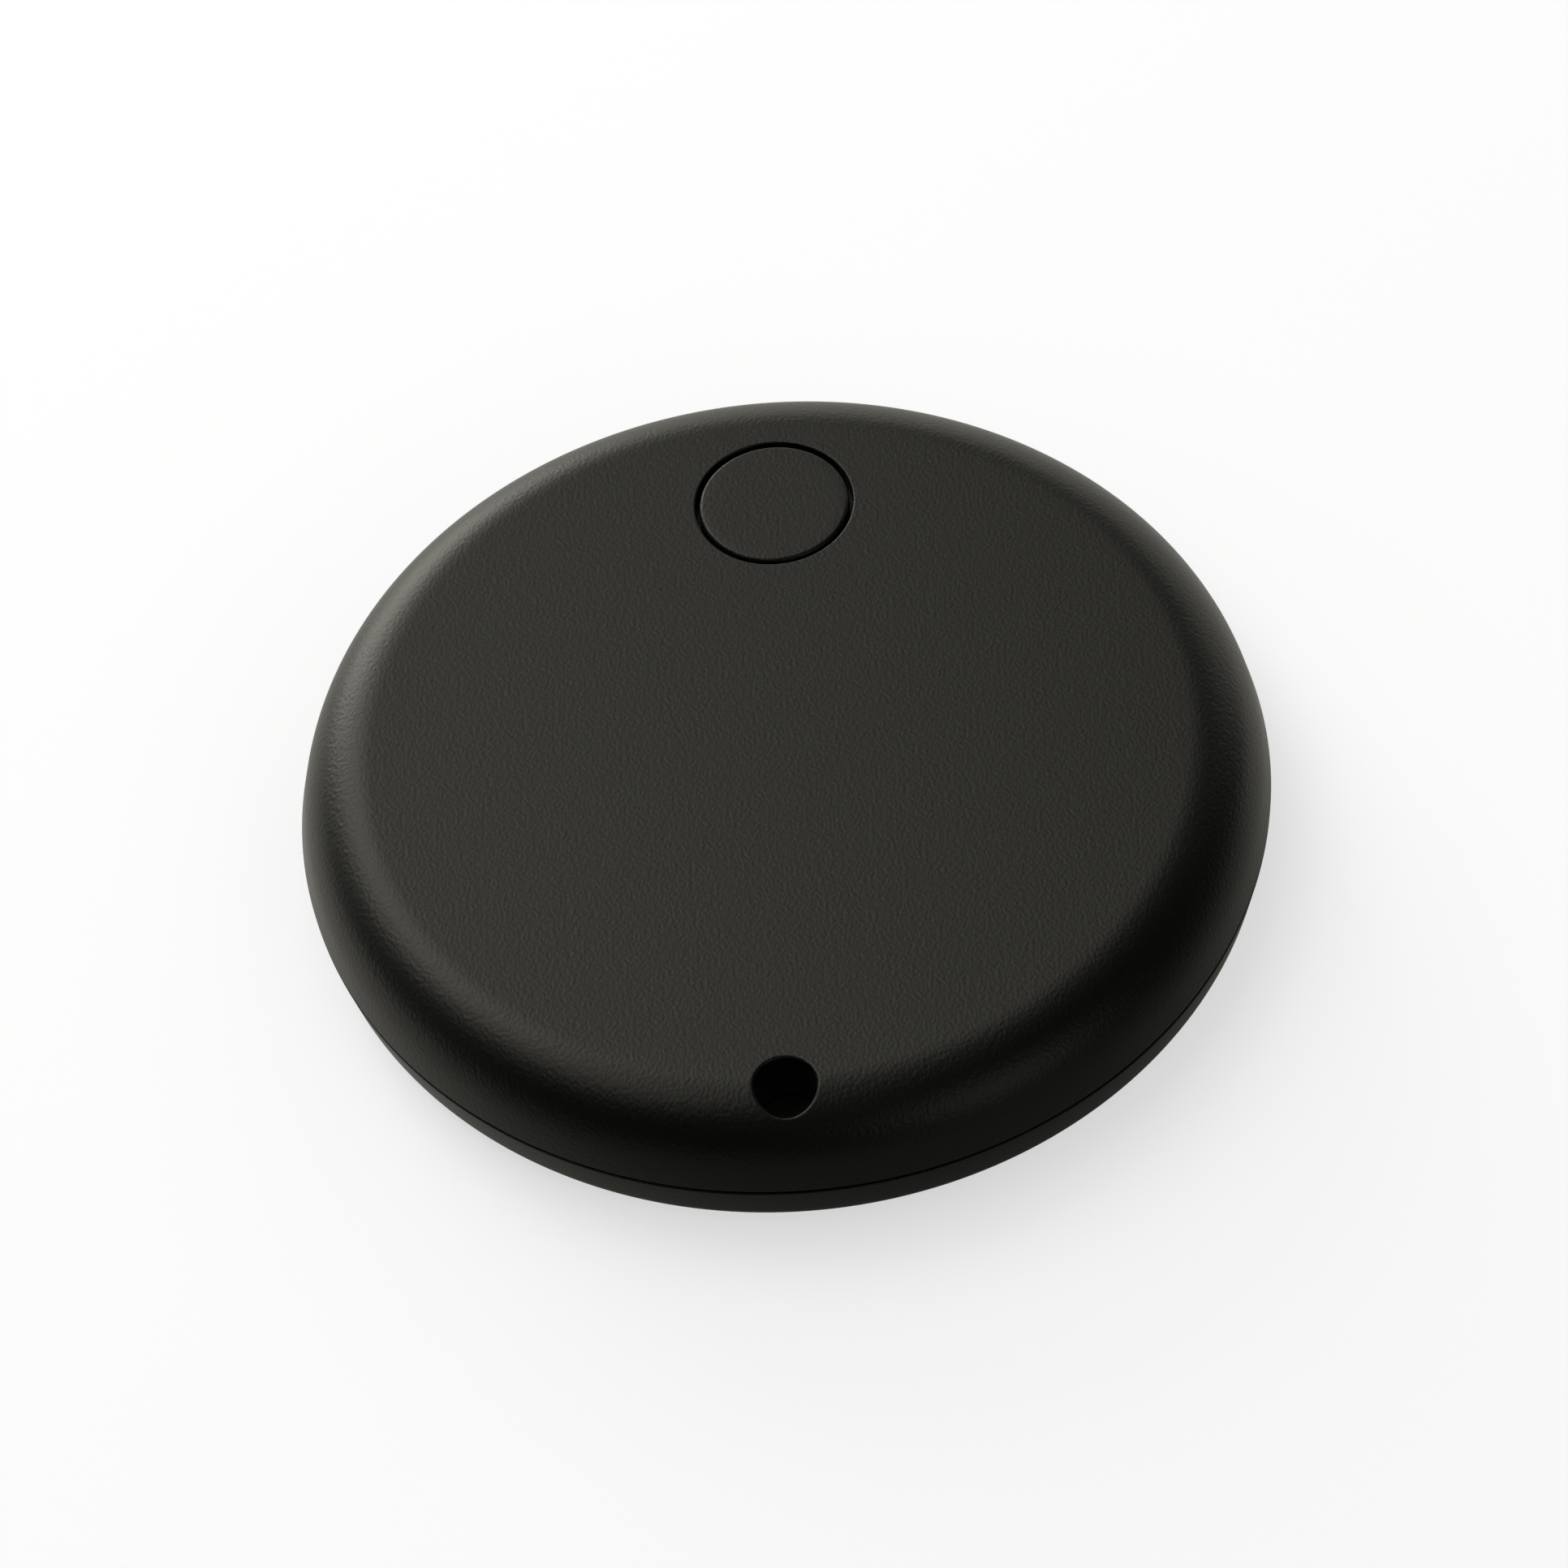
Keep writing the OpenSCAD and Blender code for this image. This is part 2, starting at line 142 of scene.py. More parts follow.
# Painted light: the glow grows far from the tag, where the lamps no longer light the table.
far_glow = between(tree, from_middle.outputs["Value"], 0, FAR_GLOW, *FAR_SPAN, eased=True)
link(total(tree, near_glow, far_glow), seen_table.inputs["Emission Strength"])
# What the tag sees of the table: a darker grey copy that glows as painted bounce light.
mirrored_table = nodes.new("ShaderNodeBsdfPrincipled")
mirrored_table.inputs["Base Color"].default_value = (0.25, 0.25, 0.25, 1)
mirrored_table.inputs["Roughness"].default_value = 1
mirrored_table.inputs["Specular IOR Level"].default_value = 0
mirrored_table.inputs["Emission Color"].default_value = (*LAMP_TINT, 1)
backward = nodes.new("ShaderNodeVectorMath")
backward.operation = "DOT_PRODUCT"
backward.inputs[1].default_value = (math.cos(BOUNCE_TURN), math.sin(BOUNCE_TURN), 0)
link(place.outputs["Object"], backward.inputs[0])
# Painted bounce light: strong behind the tag, on the side of the key lamp, and weak in front of it.
bounce = between(tree, backward.outputs["Value"], *BOUNCE_GLOW, *BOUNCE_SPAN, eased=True)
# Painted light under the foot: a glow inside the foot's ring lights the underside, which no lamp reaches.
under_foot = between(tree, from_middle.outputs["Value"], UNDER_GLOW, 0, *UNDER_SPAN)
link(total(tree, bounce, under_foot), mirrored_table.inputs["Emission Strength"])
ray = nodes.new("ShaderNodeLightPath")
side = nodes.new("ShaderNodeNewGeometry")
clear = nodes.new("ShaderNodeBsdfTransparent")
by_ray = nodes.new("ShaderNodeMixShader")
by_side = nodes.new("ShaderNodeMixShader")
link(ray.outputs["Is Camera Ray"], by_ray.inputs["Fac"])
link(mirrored_table.outputs["BSDF"], by_ray.inputs[1])
link(seen_table.outputs["BSDF"], by_ray.inputs[2])
link(side.outputs["Backfacing"], by_side.inputs["Fac"])
link(by_ray.outputs["Shader"], by_side.inputs[1])
link(clear.outputs["BSDF"], by_side.inputs[2])
link(by_side.outputs["Shader"], nodes["Material Output"].inputs["Surface"])
table_mesh.materials.append(table_material)


def lamp(name, azimuth, elevation, power, size=0.36, distance=0.6):
    """Round soft lamp that faces the tag; azimuth is counted from +X."""
    a, e = math.radians(azimuth), math.radians(elevation)
    light = bpy.data.objects.new(name, bpy.data.lights.new(name, "AREA"))
    scene.collection.objects.link(light)
    away = Vector((math.cos(a) * math.cos(e), math.sin(a) * math.cos(e), math.sin(e)))
    light.location = away * distance
    light.rotation_euler = away.to_track_quat("Z", "Y").to_euler()
    light.data.shape = "DISK"
    light.data.size = size
    light.data.energy = power
    light.data.color = LAMP_TINT


for name, azimuth, elevation, power in (
        ("key_lamp", 122, 14, 1.32), ("rear_lamp", 90, 10, 0.36), ("right_lamp", 58, 12, 0.23),
        ("high_lamp", 140, 50, 0.68), ("overhead_lamp", 101, 61, 0.27), ("left_lamp", 190, 68, 0.30),
        ("front_lamp", 310, 26, 0.16)):
    lamp(name, azimuth, elevation, power)
room = bpy.data.worlds.new("room")
room.use_nodes = True
nodes, link = room.node_tree.nodes, room.node_tree.links.new
seen_room = nodes["Background"]
seen_room.inputs["Color"].default_value = (1, 1, 1, 1)
seen_room.inputs["Strength"].default_value = 0.975
room_light = nodes.new("ShaderNodeBackground")
room_light.inputs["Color"].default_value = (1, 1, 1, 1)
room_light.inputs["Strength"].default_value = 0.02
ray = nodes.new("ShaderNodeLightPath")
by_ray = nodes.new("ShaderNodeMixShader")
link(ray.outputs["Is Camera Ray"], by_ray.inputs["Fac"])
link(room_light.outputs["Background"], by_ray.inputs[1])
link(seen_room.outputs["Background"], by_ray.inputs[2])
link(by_ray.outputs["Shader"], nodes["World Output"].inputs["Surface"])
scene.world = room

# ---- Upper shell ----
# Injection-moulded in black plastic with a fine eroded grain. One soft shoulder runs round the flat
# top, and the button hole and the lanyard hole are cut through it with rounded mouths.
CASE_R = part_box("top_cover")[1].x
CASE_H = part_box("top_cover")[1].z
SEAM_Z = 2.87 * MM
SEAM_GAP = 2 * (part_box("top_cover")[0].z - SEAM_Z)
SHOULDER_R = 3.15 * MM
UPPER_DRAFT = math.radians(11.5)
TOP_T = 0.85 * MM
CEILING_Z = CASE_H - TOP_T
SHOULDER_Z = CASE_H - SHOULDER_R
TOP_R = CASE_R - (SHOULDER_R + (SHOULDER_Z - SEAM_Z) * math.sin(UPPER_DRAFT)) / math.cos(UPPER_DRAFT)
SEAM_EDGE = 0.06 * MM
BUTTON = Vector((0, 12.5)) * MM
BUTTON_HOLE_R = 3.34 * MM
BUTTON_EDGE = 0.08 * MM
HOLE = Vector((0, -17.2)) * MM
HOLE_R = 1.23 * MM
HOLE_EDGE = 0.14 * MM
BORE_LEVELS = (5.6, 5.0, 4.4, 3.7, 3.2)
STEPS = 240


def arc(centre, radius, start, end, count):
    """Points of an arc in an outline, from the start angle to the end angle, both in degrees."""
    points = []
    for i in range(count + 1):
        a = math.radians(start + (end - start) * i / count)
        points.append((centre[0] + radius * math.cos(a), centre[1] + radius * math.sin(a)))
    return points


def new_piece(name, vertices, faces):
    """Closed mesh with its normals outwards."""
    mesh = bpy.data.meshes.new(name)
    mesh.from_pydata(vertices, [], faces)
    tidy = bmesh.new()
    tidy.from_mesh(mesh)
    bmesh.ops.remove_doubles(tidy, verts=tidy.verts, dist=1e-7)
    bmesh.ops.recalc_face_normals(tidy, faces=tidy.faces)
    tidy.to_mesh(mesh)
    tidy.free()
    piece = bpy.data.objects.new(name, mesh)
    scene.collection.objects.link(piece)
    return piece


def turned(name, outline, centre=(0, 0), steps=STEPS):
    """Solid made by turning a closed (radius, height) outline round an upright axis."""
    vertices, faces = [], []
    count = len(outline)
    for i in range(steps):
        a = 2 * math.pi * i / steps
        for radius, height in outline:
            vertices.append((centre[0] + radius * math.cos(a), centre[1] + radius * math.sin(a), height))
    for i in range(steps):
        here, there = i * count, (i + 1) % steps * count
        for j in range(count):
            k = (j + 1) % count
            if outline[j][0] > 0 or outline[k][0] > 0:
                faces.append((here + j, there + j, there + k, here + k))
    return new_piece(name, vertices, faces)


def combine(piece, other, operation):
    """Cuts or joins another solid into the piece, and removes the other one."""
    step = piece.modifiers.new(operation.lower(), "BOOLEAN")
    step.object = other
    step.operation = operation
    step.solver = "EXACT"
    shape = piece.evaluated_get(bpy.context.evaluated_depsgraph_get())
    result = bpy.data.meshes.new_from_object(shape)
    piece.modifiers.clear()
    piece.data = result
    bpy.data.objects.remove(other)


def smooth(piece, angle=32):
    """Smooth shading, with edges sharper than the angle kept crisp."""
    mesh = piece.data
    mesh.polygons.foreach_set("use_smooth", [True] * len(mesh.polygons))
    mesh.set_sharp_from_angle(angle=math.radians(angle))


def top_height(radius):
    """Height of the outer surface over a place this far from the middle."""
    lean = max(0.0, radius - TOP_R)
    return SHOULDER_Z + math.sqrt(SHOULDER_R ** 2 - lean ** 2)


def shell_envelope(name, holes):
    """The upper shell as if it were solid: top, shoulder and wall, with round holes through it."""
    flat_points, loops = [], []
    last_tilt = 45
    rings = [(TOP_R * i / 24, max(6, round(STEPS * i / 24))) for i in range(1, 24)]
    rings += [(TOP_R + SHOULDER_R * math.sin(math.radians(t)), STEPS) for t in range(0, last_tilt + 1, 3)]
    for radius, count in rings:
        for i in range(count):
            a = 2 * math.pi * i / count
            flat_points.append(Vector((radius * math.cos(a), radius * math.sin(a))))
    rim_start = len(flat_points) - STEPS
    clear = [(c, r + e * 1.35) for c, r, e, n in holes]
    left = [k for k, p in enumerate(flat_points) if all((p - c).length > r for c, r in clear)]
    flat_points = [flat_points[k] for k in left]
    rim = [left.index(rim_start + i) for i in range(STEPS)]
    drops = [0.0] * len(flat_points)
    for centre, radius, edge, count in holes:
        for turn in (-8, 0, 11, 22, 34, 45, 56, 67, 78, 90):
            t = math.radians(max(turn, 0))
            away = edge * 0.12 if turn < 0 else 0
            drop = edge * (1 - math.cos(t))
            first = len(flat_points)
            for i in range(count):
                a = 2 * math.pi * i / count
                ray = Vector((math.cos(a), math.sin(a)))
                flat_points.append(centre + ray * (radius + edge * (1 - math.sin(t)) + away))
                drops.append(drop)
        loops.append(list(range(first, first + count)))
    edges = [(loop[i - 1], loop[i]) for loop in loops for i in range(len(loop))]
    flat = [p / MM for p in flat_points]
    found, _, faces, origin, _, _ = geometry.delaunay_2d_cdt(flat, edges, [], 0, 1e-6)
    where = {}
    for k, sources in enumerate(origin):
        for s in sources:
            where[s] = k
    vertices = [None] * len(found)
    for s, k in where.items():
        p = flat_points[s]
        vertices[k] = (p.x, p.y, top_height(p.length) - drops[s])
    rims = [{where[s] for s in loop} for loop in loops]
    open_faces = [tuple(face) for face in faces if not any(rim_set.issuperset(face) for rim_set in rims)]

    def band(upper, lower):
        for i in range(len(upper)):
            open_faces.append((upper[i - 1], upper[i], lower[i], lower[i - 1]))

    def ring_below(loop, place):
        ring = []
        for k in loop:
            ring.append(len(vertices))
            vertices.append(place(Vector(vertices[k])))
        band(loop, ring)
        return ring

    floor_z = SEAM_Z + SEAM_GAP / 2
    floors = []
    for loop in loops:
        ring = [where[s] for s in loop]
        for level in BORE_LEVELS:
            ring = ring_below(ring, lambda v: (v.x, v.y, level * MM))
        floors.append(ring_below(ring, lambda v: (v.x, v.y, floor_z)))
    wall = [(TOP_R + SHOULDER_R * math.sin(math.radians(t)),
             SHOULDER_Z + SHOULDER_R * math.cos(math.radians(t))) for t in range(last_tilt + 3, 79, 3)]
    wall += arc((CASE_R - SEAM_EDGE * 1.05, floor_z + SEAM_EDGE), SEAM_EDGE, 10, -90, 5)
    ring = [where[s] for s in rim]
    for radius, height in wall:
        ring = ring_below(ring, lambda v: (*(Vector((v.x, v.y)).normalized() * radius), height))
    flat = [Vector(vertices[k][:2]) / MM for loop in [ring, *floors] for k in loop]
    index = [k for loop in [ring, *floors] for k in loop]
    bottom_edges, at = [], 0
    for loop in [ring, *floors]:
        bottom_edges += [(at + i, at + (i + 1) % len(loop)) for i in range(len(loop))]
        at += len(loop)
    _, _, faces, origin, _, _ = geometry.delaunay_2d_cdt(flat, bottom_edges, [], 0, 1e-6)
    for face in faces:
        corners = [index[origin[k][0]] for k in face]
        if not any(set(corners) <= set(floor) for floor in floors):
            open_faces.append(tuple(corners))
    return new_piece(name, vertices, open_faces)


SKIRT_R = CASE_R - 0.95 * MM
INNER_R = CASE_R - 1.7 * MM
LEDGE_Z = 3.95 * MM
LEDGE_TOP_Z = LEDGE_Z + 0.5 * MM
GROOVE = (3.12 * MM, 3.52 * MM)
COLLAR_R = (3.9 * MM, 4.4 * MM)
COLLAR_Z = 4.74 * MM
HOLE_TUBE_R = 2.15 * MM
inner_shoulder = SHOULDER_R - TOP_T
ledge_angle = math.degrees(math.asin((LEDGE_TOP_Z - SHOULDER_Z) / inner_shoulder))
hollow = turned("hollow", [
    (0, 2 * MM), (SKIRT_R, 2 * MM), (SKIRT_R, GROOVE[0]), (SKIRT_R + 0.05 * MM, GROOVE[0] + 0.05 * MM),
    (SKIRT_R + 0.05 * MM, GROOVE[1] - 0.05 * MM), (SKIRT_R, GROOVE[1]), (SKIRT_R, LEDGE_Z),
    (INNER_R - 0.1 * MM, LEDGE_Z), (INNER_R - 0.1 * MM, LEDGE_TOP_Z),
    *arc((TOP_R, SHOULDER_Z), inner_shoulder, ledge_angle, 90, 16), (0, CEILING_Z)])
hole_tube = turned("hole_tube", [(0, LEDGE_Z), (HOLE_TUBE_R, LEDGE_Z), (HOLE_TUBE_R, CASE_H), (0, CASE_H)],
                   HOLE, 96)
collar = turned("collar", [
    (COLLAR_R[0], COLLAR_Z), (COLLAR_R[1], COLLAR_Z), (COLLAR_R[1], CASE_H), (COLLAR_R[0], CASE_H)],
    BUTTON, 128)
combine(hollow, hole_tube, "DIFFERENCE")
combine(hollow, collar, "DIFFERENCE")
upper_shell = shell_envelope("upper_shell", [
    (BUTTON, BUTTON_HOLE_R, BUTTON_EDGE, 144), (HOLE, HOLE_R, HOLE_EDGE, 96)])
combine(upper_shell, hollow, "DIFFERENCE")
smooth(upper_shell)


def new_group(name, inputs, outputs):
    """Shader node group with these named sockets, its tree, and its input and output nodes."""
    group = bpy.data.node_groups.new(name, "ShaderNodeTree")
    for label, kind, value in inputs:
        socket = group.interface.new_socket(label, in_out="INPUT", socket_type=kind)
        socket.default_value = value
    for label, kind in outputs:
        group.interface.new_socket(label, in_out="OUTPUT", socket_type=kind)
    return group, group.nodes.new("NodeGroupInput"), group.nodes.new("NodeGroupOutput")


def part_place(group, size_socket):
    """Place on the part divided by a size in millimetres, so that a texture keeps its real scale."""
    place = group.nodes.new("ShaderNodeTexCoord")
    metres = group.nodes.new("ShaderNodeMath")
    metres.operation = "MULTIPLY"
    metres.inputs[1].default_value = MM
    over = group.nodes.new("ShaderNodeMath")
    over.operation = "DIVIDE"
    over.inputs[0].default_value = 1
    scaled = group.nodes.new("ShaderNodeVectorMath")
    scaled.operation = "SCALE"
    group.links.new(size_socket, metres.inputs[0])
    group.links.new(metres.outputs["Value"], over.inputs[1])
    group.links.new(place.outputs["Object"], scaled.inputs["Vector"])
    group.links.new(over.outputs["Value"], scaled.inputs["Scale"])
    return scaled.outputs["Vector"]


def noise(group, vector, detail, roughness=0.5, distortion=0.0):
    """Soft cloudy pattern, one cell to the unit."""
    texture = group.nodes.new("ShaderNodeTexNoise")
    texture.inputs["Scale"].default_value = 1
    texture.inputs["Detail"].default_value = detail
    texture.inputs["Roughness"].default_value = roughness
    texture.inputs["Distortion"].default_value = distortion
    group.links.new(vector, texture.inputs["Vector"])
    return texture.outputs["Fac"]


def mixed(group, factor, first, second):
    """A colour that goes from the first to the second with the factor."""
    mix = group.nodes.new("ShaderNodeMix")
    mix.data_type = "RGBA"
    group.links.new(factor, mix.inputs["Factor"])
    group.links.new(first, mix.inputs[6])
    group.links.new(second, mix.inputs[7])
    return mix.outputs[2]


GRAIN_IN = [("Size", "NodeSocketFloat", 0.3), ("Light Colour", "NodeSocketColor", (1, 1, 1, 1)),
            ("Dark Colour", "NodeSocketColor", (0, 0, 0, 1)), ("Smoothest", "NodeSocketFloat", 0.4),
            ("Roughest", "NodeSocketFloat", 0.5)]
GRAIN_OUT = [("Colour", "NodeSocketColor"), ("Roughness", "NodeSocketFloat"), ("Height", "NodeSocketFloat")]


def texture_group(name, make_height, extra=()):
    """Group that turns one height pattern into colour, roughness and height over the surface."""
    group, given, result = new_group(name, [*GRAIN_IN, *extra], GRAIN_OUT)
    height = make_height(group, given)
    broad = noise(group, part_place(group, given.outputs["Size"]), 2)
    group.links.new(mixed(group, between(group, height, 0, 1, 0.25, 0.75), given.outputs["Dark Colour"],
                          given.outputs["Light Colour"]), result.inputs["Colour"])
    group.links.new(between(group, broad, given.outputs["Smoothest"], given.outputs["Roughest"]),
                    result.inputs["Roughness"])
    group.links.new(height, result.inputs["Height"])
    return group


def leather_height(group, given):
    """Eroded mould texture: fine soft wrinkles, longer from the button to the hole."""
    longer = group.nodes.new("ShaderNodeVectorMath")
    longer.operation = "MULTIPLY"
    longer.inputs[1].default_value = (1, 0.8, 0.9)
    group.links.new(part_place(group, given.outputs["Size"]), longer.inputs[0])
    return noise(group, longer.outputs["Vector"], 0, 0.5, 0.3)


def speck_height(group, given):
    """Fine even grain, as on moulded, fired or sandblasted surfaces."""
    return noise(group, part_place(group, given.outputs["Size"]), 4, 0.6)


moulded_grain = texture_group("moulded_grain", leather_height)
fine_grain = texture_group("fine_grain", speck_height)


def textured(name, group, size, colours, roughness, depth, metallic=0.0, level=0.5, tint=None, coat=0.0,
             more=()):
    """Material from one texture group: size and depth in mm, two colours and a span of roughness."""
    material, tree, shader = new_material(name)
    effect = tree.nodes.new("ShaderNodeGroup")
    effect.node_tree = group
    effect.inputs["Size"].default_value = size
    effect.inputs["Dark Colour"].default_value = (*colours[0], 1)
    effect.inputs["Light Colour"].default_value = (*colours[1], 1)
    effect.inputs["Smoothest"].default_value = roughness[0]
    effect.inputs["Roughest"].default_value = roughness[1]
    for label, value in more:
        effect.inputs[label].default_value = value
    relief = tree.nodes.new("ShaderNodeBump")
    relief.inputs["Distance"].default_value = depth * MM
    tree.links.new(effect.outputs["Colour"], shader.inputs["Base Color"])
    tree.links.new(effect.outputs["Roughness"], shader.inputs["Roughness"])
    tree.links.new(effect.outputs["Height"], relief.inputs["Height"])
    tree.links.new(relief.outputs["Normal"], shader.inputs["Normal"])
    shader.inputs["Metallic"].default_value = metallic
    shader.inputs["Specular IOR Level"].default_value = level
    shader.inputs["Coat Weight"].default_value = coat
    if tint:
        shader.inputs["Specular Tint"].default_value = (*tint, 1)
    return material


def fitted(piece, material, body, slot, *replaced):
    """Gives a made piece its material and its body, and hides the CAD nodes that it stands for. The slot is
    not used.
    """
    piece.data.materials.clear()
    piece.data.materials.append(material)
    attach(piece, body)
    if replaced:
        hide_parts(*replaced)
    return piece


WARM = (1.0, 0.985, 0.95)
GRAIN_SIZE = 0.14
GRAIN_DEPTH = 0.0138
BLACK = ((0.0024, 0.0024, 0.0021), (0.0034, 0.0033, 0.0029))
SATIN = (0.39, 0.43)
case_plastic = textured("case_plastic", moulded_grain, GRAIN_SIZE, BLACK, SATIN, GRAIN_DEPTH, tint=WARM)
fitted(upper_shell, case_plastic, "cover", "case_plastic", "top_cover")
# Painted shade: the bore's reflection is set almost to nothing, so the lanyard hole looks black inside.
hole_lining = textured("hole_lining", fine_grain, 0.1, BLACK, (0.8, 0.9), 0.002, level=0.05)


def line_hole(shell):
    """The bore of the lanyard hole is dull, as the mould's core pin leaves it; its reflection is also turned
    almost off, as painted shade, so that the bore stays black.
    """
    shell.data.materials.append(hole_lining)
    for face in shell.data.polygons:
        if (face.center.xy - HOLE).length < HOLE_R * 1.01:
            face.material_index = 1


line_hole(upper_shell)

# ---- Lower shell ----
# The same black plastic. Its tongue stands inside the upper shell's skirt and clicks into a shallow
# groove; bosses for the board's screws rise from the floor, and the foot has a shallow round recess.
FOOT_FILLET_R = 1.6 * MM
LOWER_DRAFT = math.radians(11)
FLOOR_T = 0.8 * MM
FOOT_R = CASE_R - (FOOT_FILLET_R + (SEAM_Z - FOOT_FILLET_R) * math.sin(LOWER_DRAFT)) / math.cos(LOWER_DRAFT)
LOWER_LIP_Z = SEAM_Z - SEAM_GAP / 2
LAND_R = CASE_R - 0.4 * MM
LAND_Z = SEAM_Z + SEAM_GAP / 2 - 0.02 * MM
TONGUE_R = SKIRT_R - 0.05 * MM
TONGUE_Z = 3.75 * MM
BEAD_LOW = 3.17 * MM
BEAD_HIGH = 3.47 * MM
BEAD_H = 0.03 * MM
RECESS_R = 11 * MM
RECESS_DEPTH = 0.15 * MM
SCREW_TURNS = (20, 160, 255)
SCREW_RING_R = 15.6 * MM
BOARD_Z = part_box("circuit_board")[0].z
lip_r = CASE_R - (SEAM_Z - LOWER_LIP_Z) * math.tan(LOWER_DRAFT)
soft = 0.08 * MM
lower_shell = turned("lower_shell", [
    (0, RECESS_DEPTH), (RECESS_R - soft, RECESS_DEPTH), (RECESS_R, RECESS_DEPTH - soft * 0.4),
    (RECESS_R, soft),
    *arc((RECESS_R + soft, soft), soft, 180, 270, 4), (RECESS_R + 3 * soft, 0), (FOOT_R - 3 * soft, 0),
    *arc((FOOT_R, FOOT_FILLET_R), FOOT_FILLET_R, 270, 360 - math.degrees(LOWER_DRAFT), 16),
    *arc((lip_r - SEAM_EDGE * 1.05, LOWER_LIP_Z - SEAM_EDGE), SEAM_EDGE, -10, 90, 5),
    (LAND_R, LOWER_LIP_Z), (LAND_R, LAND_Z), (TONGUE_R, LAND_Z), (TONGUE_R, BEAD_LOW),
    (TONGUE_R + BEAD_H, BEAD_LOW + 0.05 * MM), (TONGUE_R + BEAD_H, BEAD_HIGH - 0.05 * MM),
    (TONGUE_R, BEAD_HIGH), (TONGUE_R, TONGUE_Z - soft), (TONGUE_R - soft, TONGUE_Z),
    (INNER_R + soft, TONGUE_Z), (INNER_R, TONGUE_Z - soft), (INNER_R, FLOOR_T + 0.3 * MM),
    (INNER_R - 0.09 * MM, FLOOR_T + 0.09 * MM), (INNER_R - 0.3 * MM, FLOOR_T), (0, FLOOR_T)])
tube = turned("tube", [(0, FLOOR_T / 2), (HOLE_TUBE_R, FLOOR_T / 2), (HOLE_TUBE_R, TONGUE_Z), (0, TONGUE_Z)],
              HOLE, 96)
trim = turned("trim", [(0, 0), (TONGUE_R - 0.01 * MM, 0), (TONGUE_R - 0.01 * MM, CASE_H), (0, CASE_H)])
combine(tube, trim, "INTERSECT")


def gathered(pieces):
    """Puts solids that don't touch each other into the first of them."""
    work = bmesh.new()
    for piece in pieces:
        work.from_mesh(piece.data)
    work.to_mesh(pieces[0].data)
    work.free()
    for piece in pieces[1:]:
        bpy.data.objects.remove(piece)
    return pieces[0]


bosses, bores = [], []
for turn in SCREW_TURNS:
    for lead, radius in ((0, 1.3 * MM), (55, 0.65 * MM)):
        a = math.radians(turn + lead)
        spot = (SCREW_RING_R * math.cos(a), SCREW_RING_R * math.sin(a))
        bosses.append(turned("boss", [
            (0, FLOOR_T / 2), (radius, FLOOR_T / 2), (radius, BOARD_Z), (0, BOARD_Z)], spot, 48))
        if lead == 0:
            bores.append(turned("bore", [
                (0, 0.45 * MM), (0.6 * MM, 0.45 * MM), (0.6 * MM, 3 * MM), (0, 3 * MM)], spot, 32))
mouth = turned("mouth", [
    (0, -MM), (HOLE_R + HOLE_EDGE, -MM), *arc((HOLE_R + HOLE_EDGE, HOLE_EDGE * 0.9), HOLE_EDGE, 270, 180, 8),
    (HOLE_R, CASE_H), (0, CASE_H)], HOLE, 96)
combine(lower_shell, gathered([tube, *bosses]), "UNION")
combine(lower_shell, gathered([mouth, *bores]), "DIFFERENCE")
smooth(lower_shell, 24)
fitted(lower_shell, case_plastic, "base", "case_plastic", "base_cover")
line_hole(lower_shell)

# ---- Button ----
# A hard black cap, flush with the top and free all round by a fifth of a millimetre. A flange under
# the top face keeps it in; a silicone membrane glued to the collar seals it and carries its pip.
BUTTON_R = 3.17 * MM
CAP_EDGE = 0.18 * MM
MEMBRANE_TOP_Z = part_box("button_membrane")[1].z
POST_R = 1.3 * MM
POST_Z = MEMBRANE_TOP_Z + 0.01 * MM
FLANGE_R = 3.75 * MM
FLANGE_LOW = 5.15 * MM
FLANGE_TOP = 5.53 * MM
button = turned("button", [
    (0, POST_Z), (POST_R - 0.05 * MM, POST_Z), (POST_R, POST_Z + 0.05 * MM),
    (POST_R, FLANGE_LOW), (FLANGE_R - soft, FLANGE_LOW), (FLANGE_R, FLANGE_LOW + soft),
    (FLANGE_R, FLANGE_TOP - soft), (FLANGE_R - soft, FLANGE_TOP), (BUTTON_R, FLANGE_TOP),
    (BUTTON_R, CASE_H - 0.5 * MM), *arc((BUTTON_R - CAP_EDGE, CASE_H - CAP_EDGE), CAP_EDGE, 0, 90, 8),
    (BUTTON_R - 0.6 * MM, CASE_H), (BUTTON_R * 0.5, CASE_H), (0, CASE_H)], BUTTON, 144)
smooth(button)
button_plastic = textured("button_plastic", moulded_grain, GRAIN_SIZE, BLACK, SATIN, GRAIN_DEPTH, tint=WARM)
fitted(button, button_plastic, "button", "button_plastic", "button_cap")


# The membrane's rim stays glued to the cover while its middle goes down with the cap. They meet in a
# small hanging fold, which still laps when the button is pressed.
MEMBRANE_Z = COLLAR_Z - 0.2 * MM
MEMBRANE_RIM_TOP = COLLAR_Z - 0.01 * MM
PIP_R = 0.9 * MM
PIP_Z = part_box("button_membrane")[0].z
FOLD_R = 2.9 * MM
FOLD_W = 0.22 * MM
FOLD_Z = MEMBRANE_Z - 0.13 * MM
membrane = turned("membrane", [
    (0, PIP_Z), (PIP_R - soft, PIP_Z), (PIP_R, PIP_Z + soft), (PIP_R, MEMBRANE_Z - soft),
    (PIP_R + soft, MEMBRANE_Z), (FOLD_R - FOLD_W, MEMBRANE_Z), (FOLD_R - FOLD_W * 0.8, FOLD_Z),
    (FOLD_R, FOLD_Z), (FOLD_R, MEMBRANE_RIM_TOP), (POST_R, MEMBRANE_RIM_TOP), (POST_R, MEMBRANE_TOP_Z),
    (0, MEMBRANE_TOP_Z)],
    BUTTON, 96)
smooth(membrane)
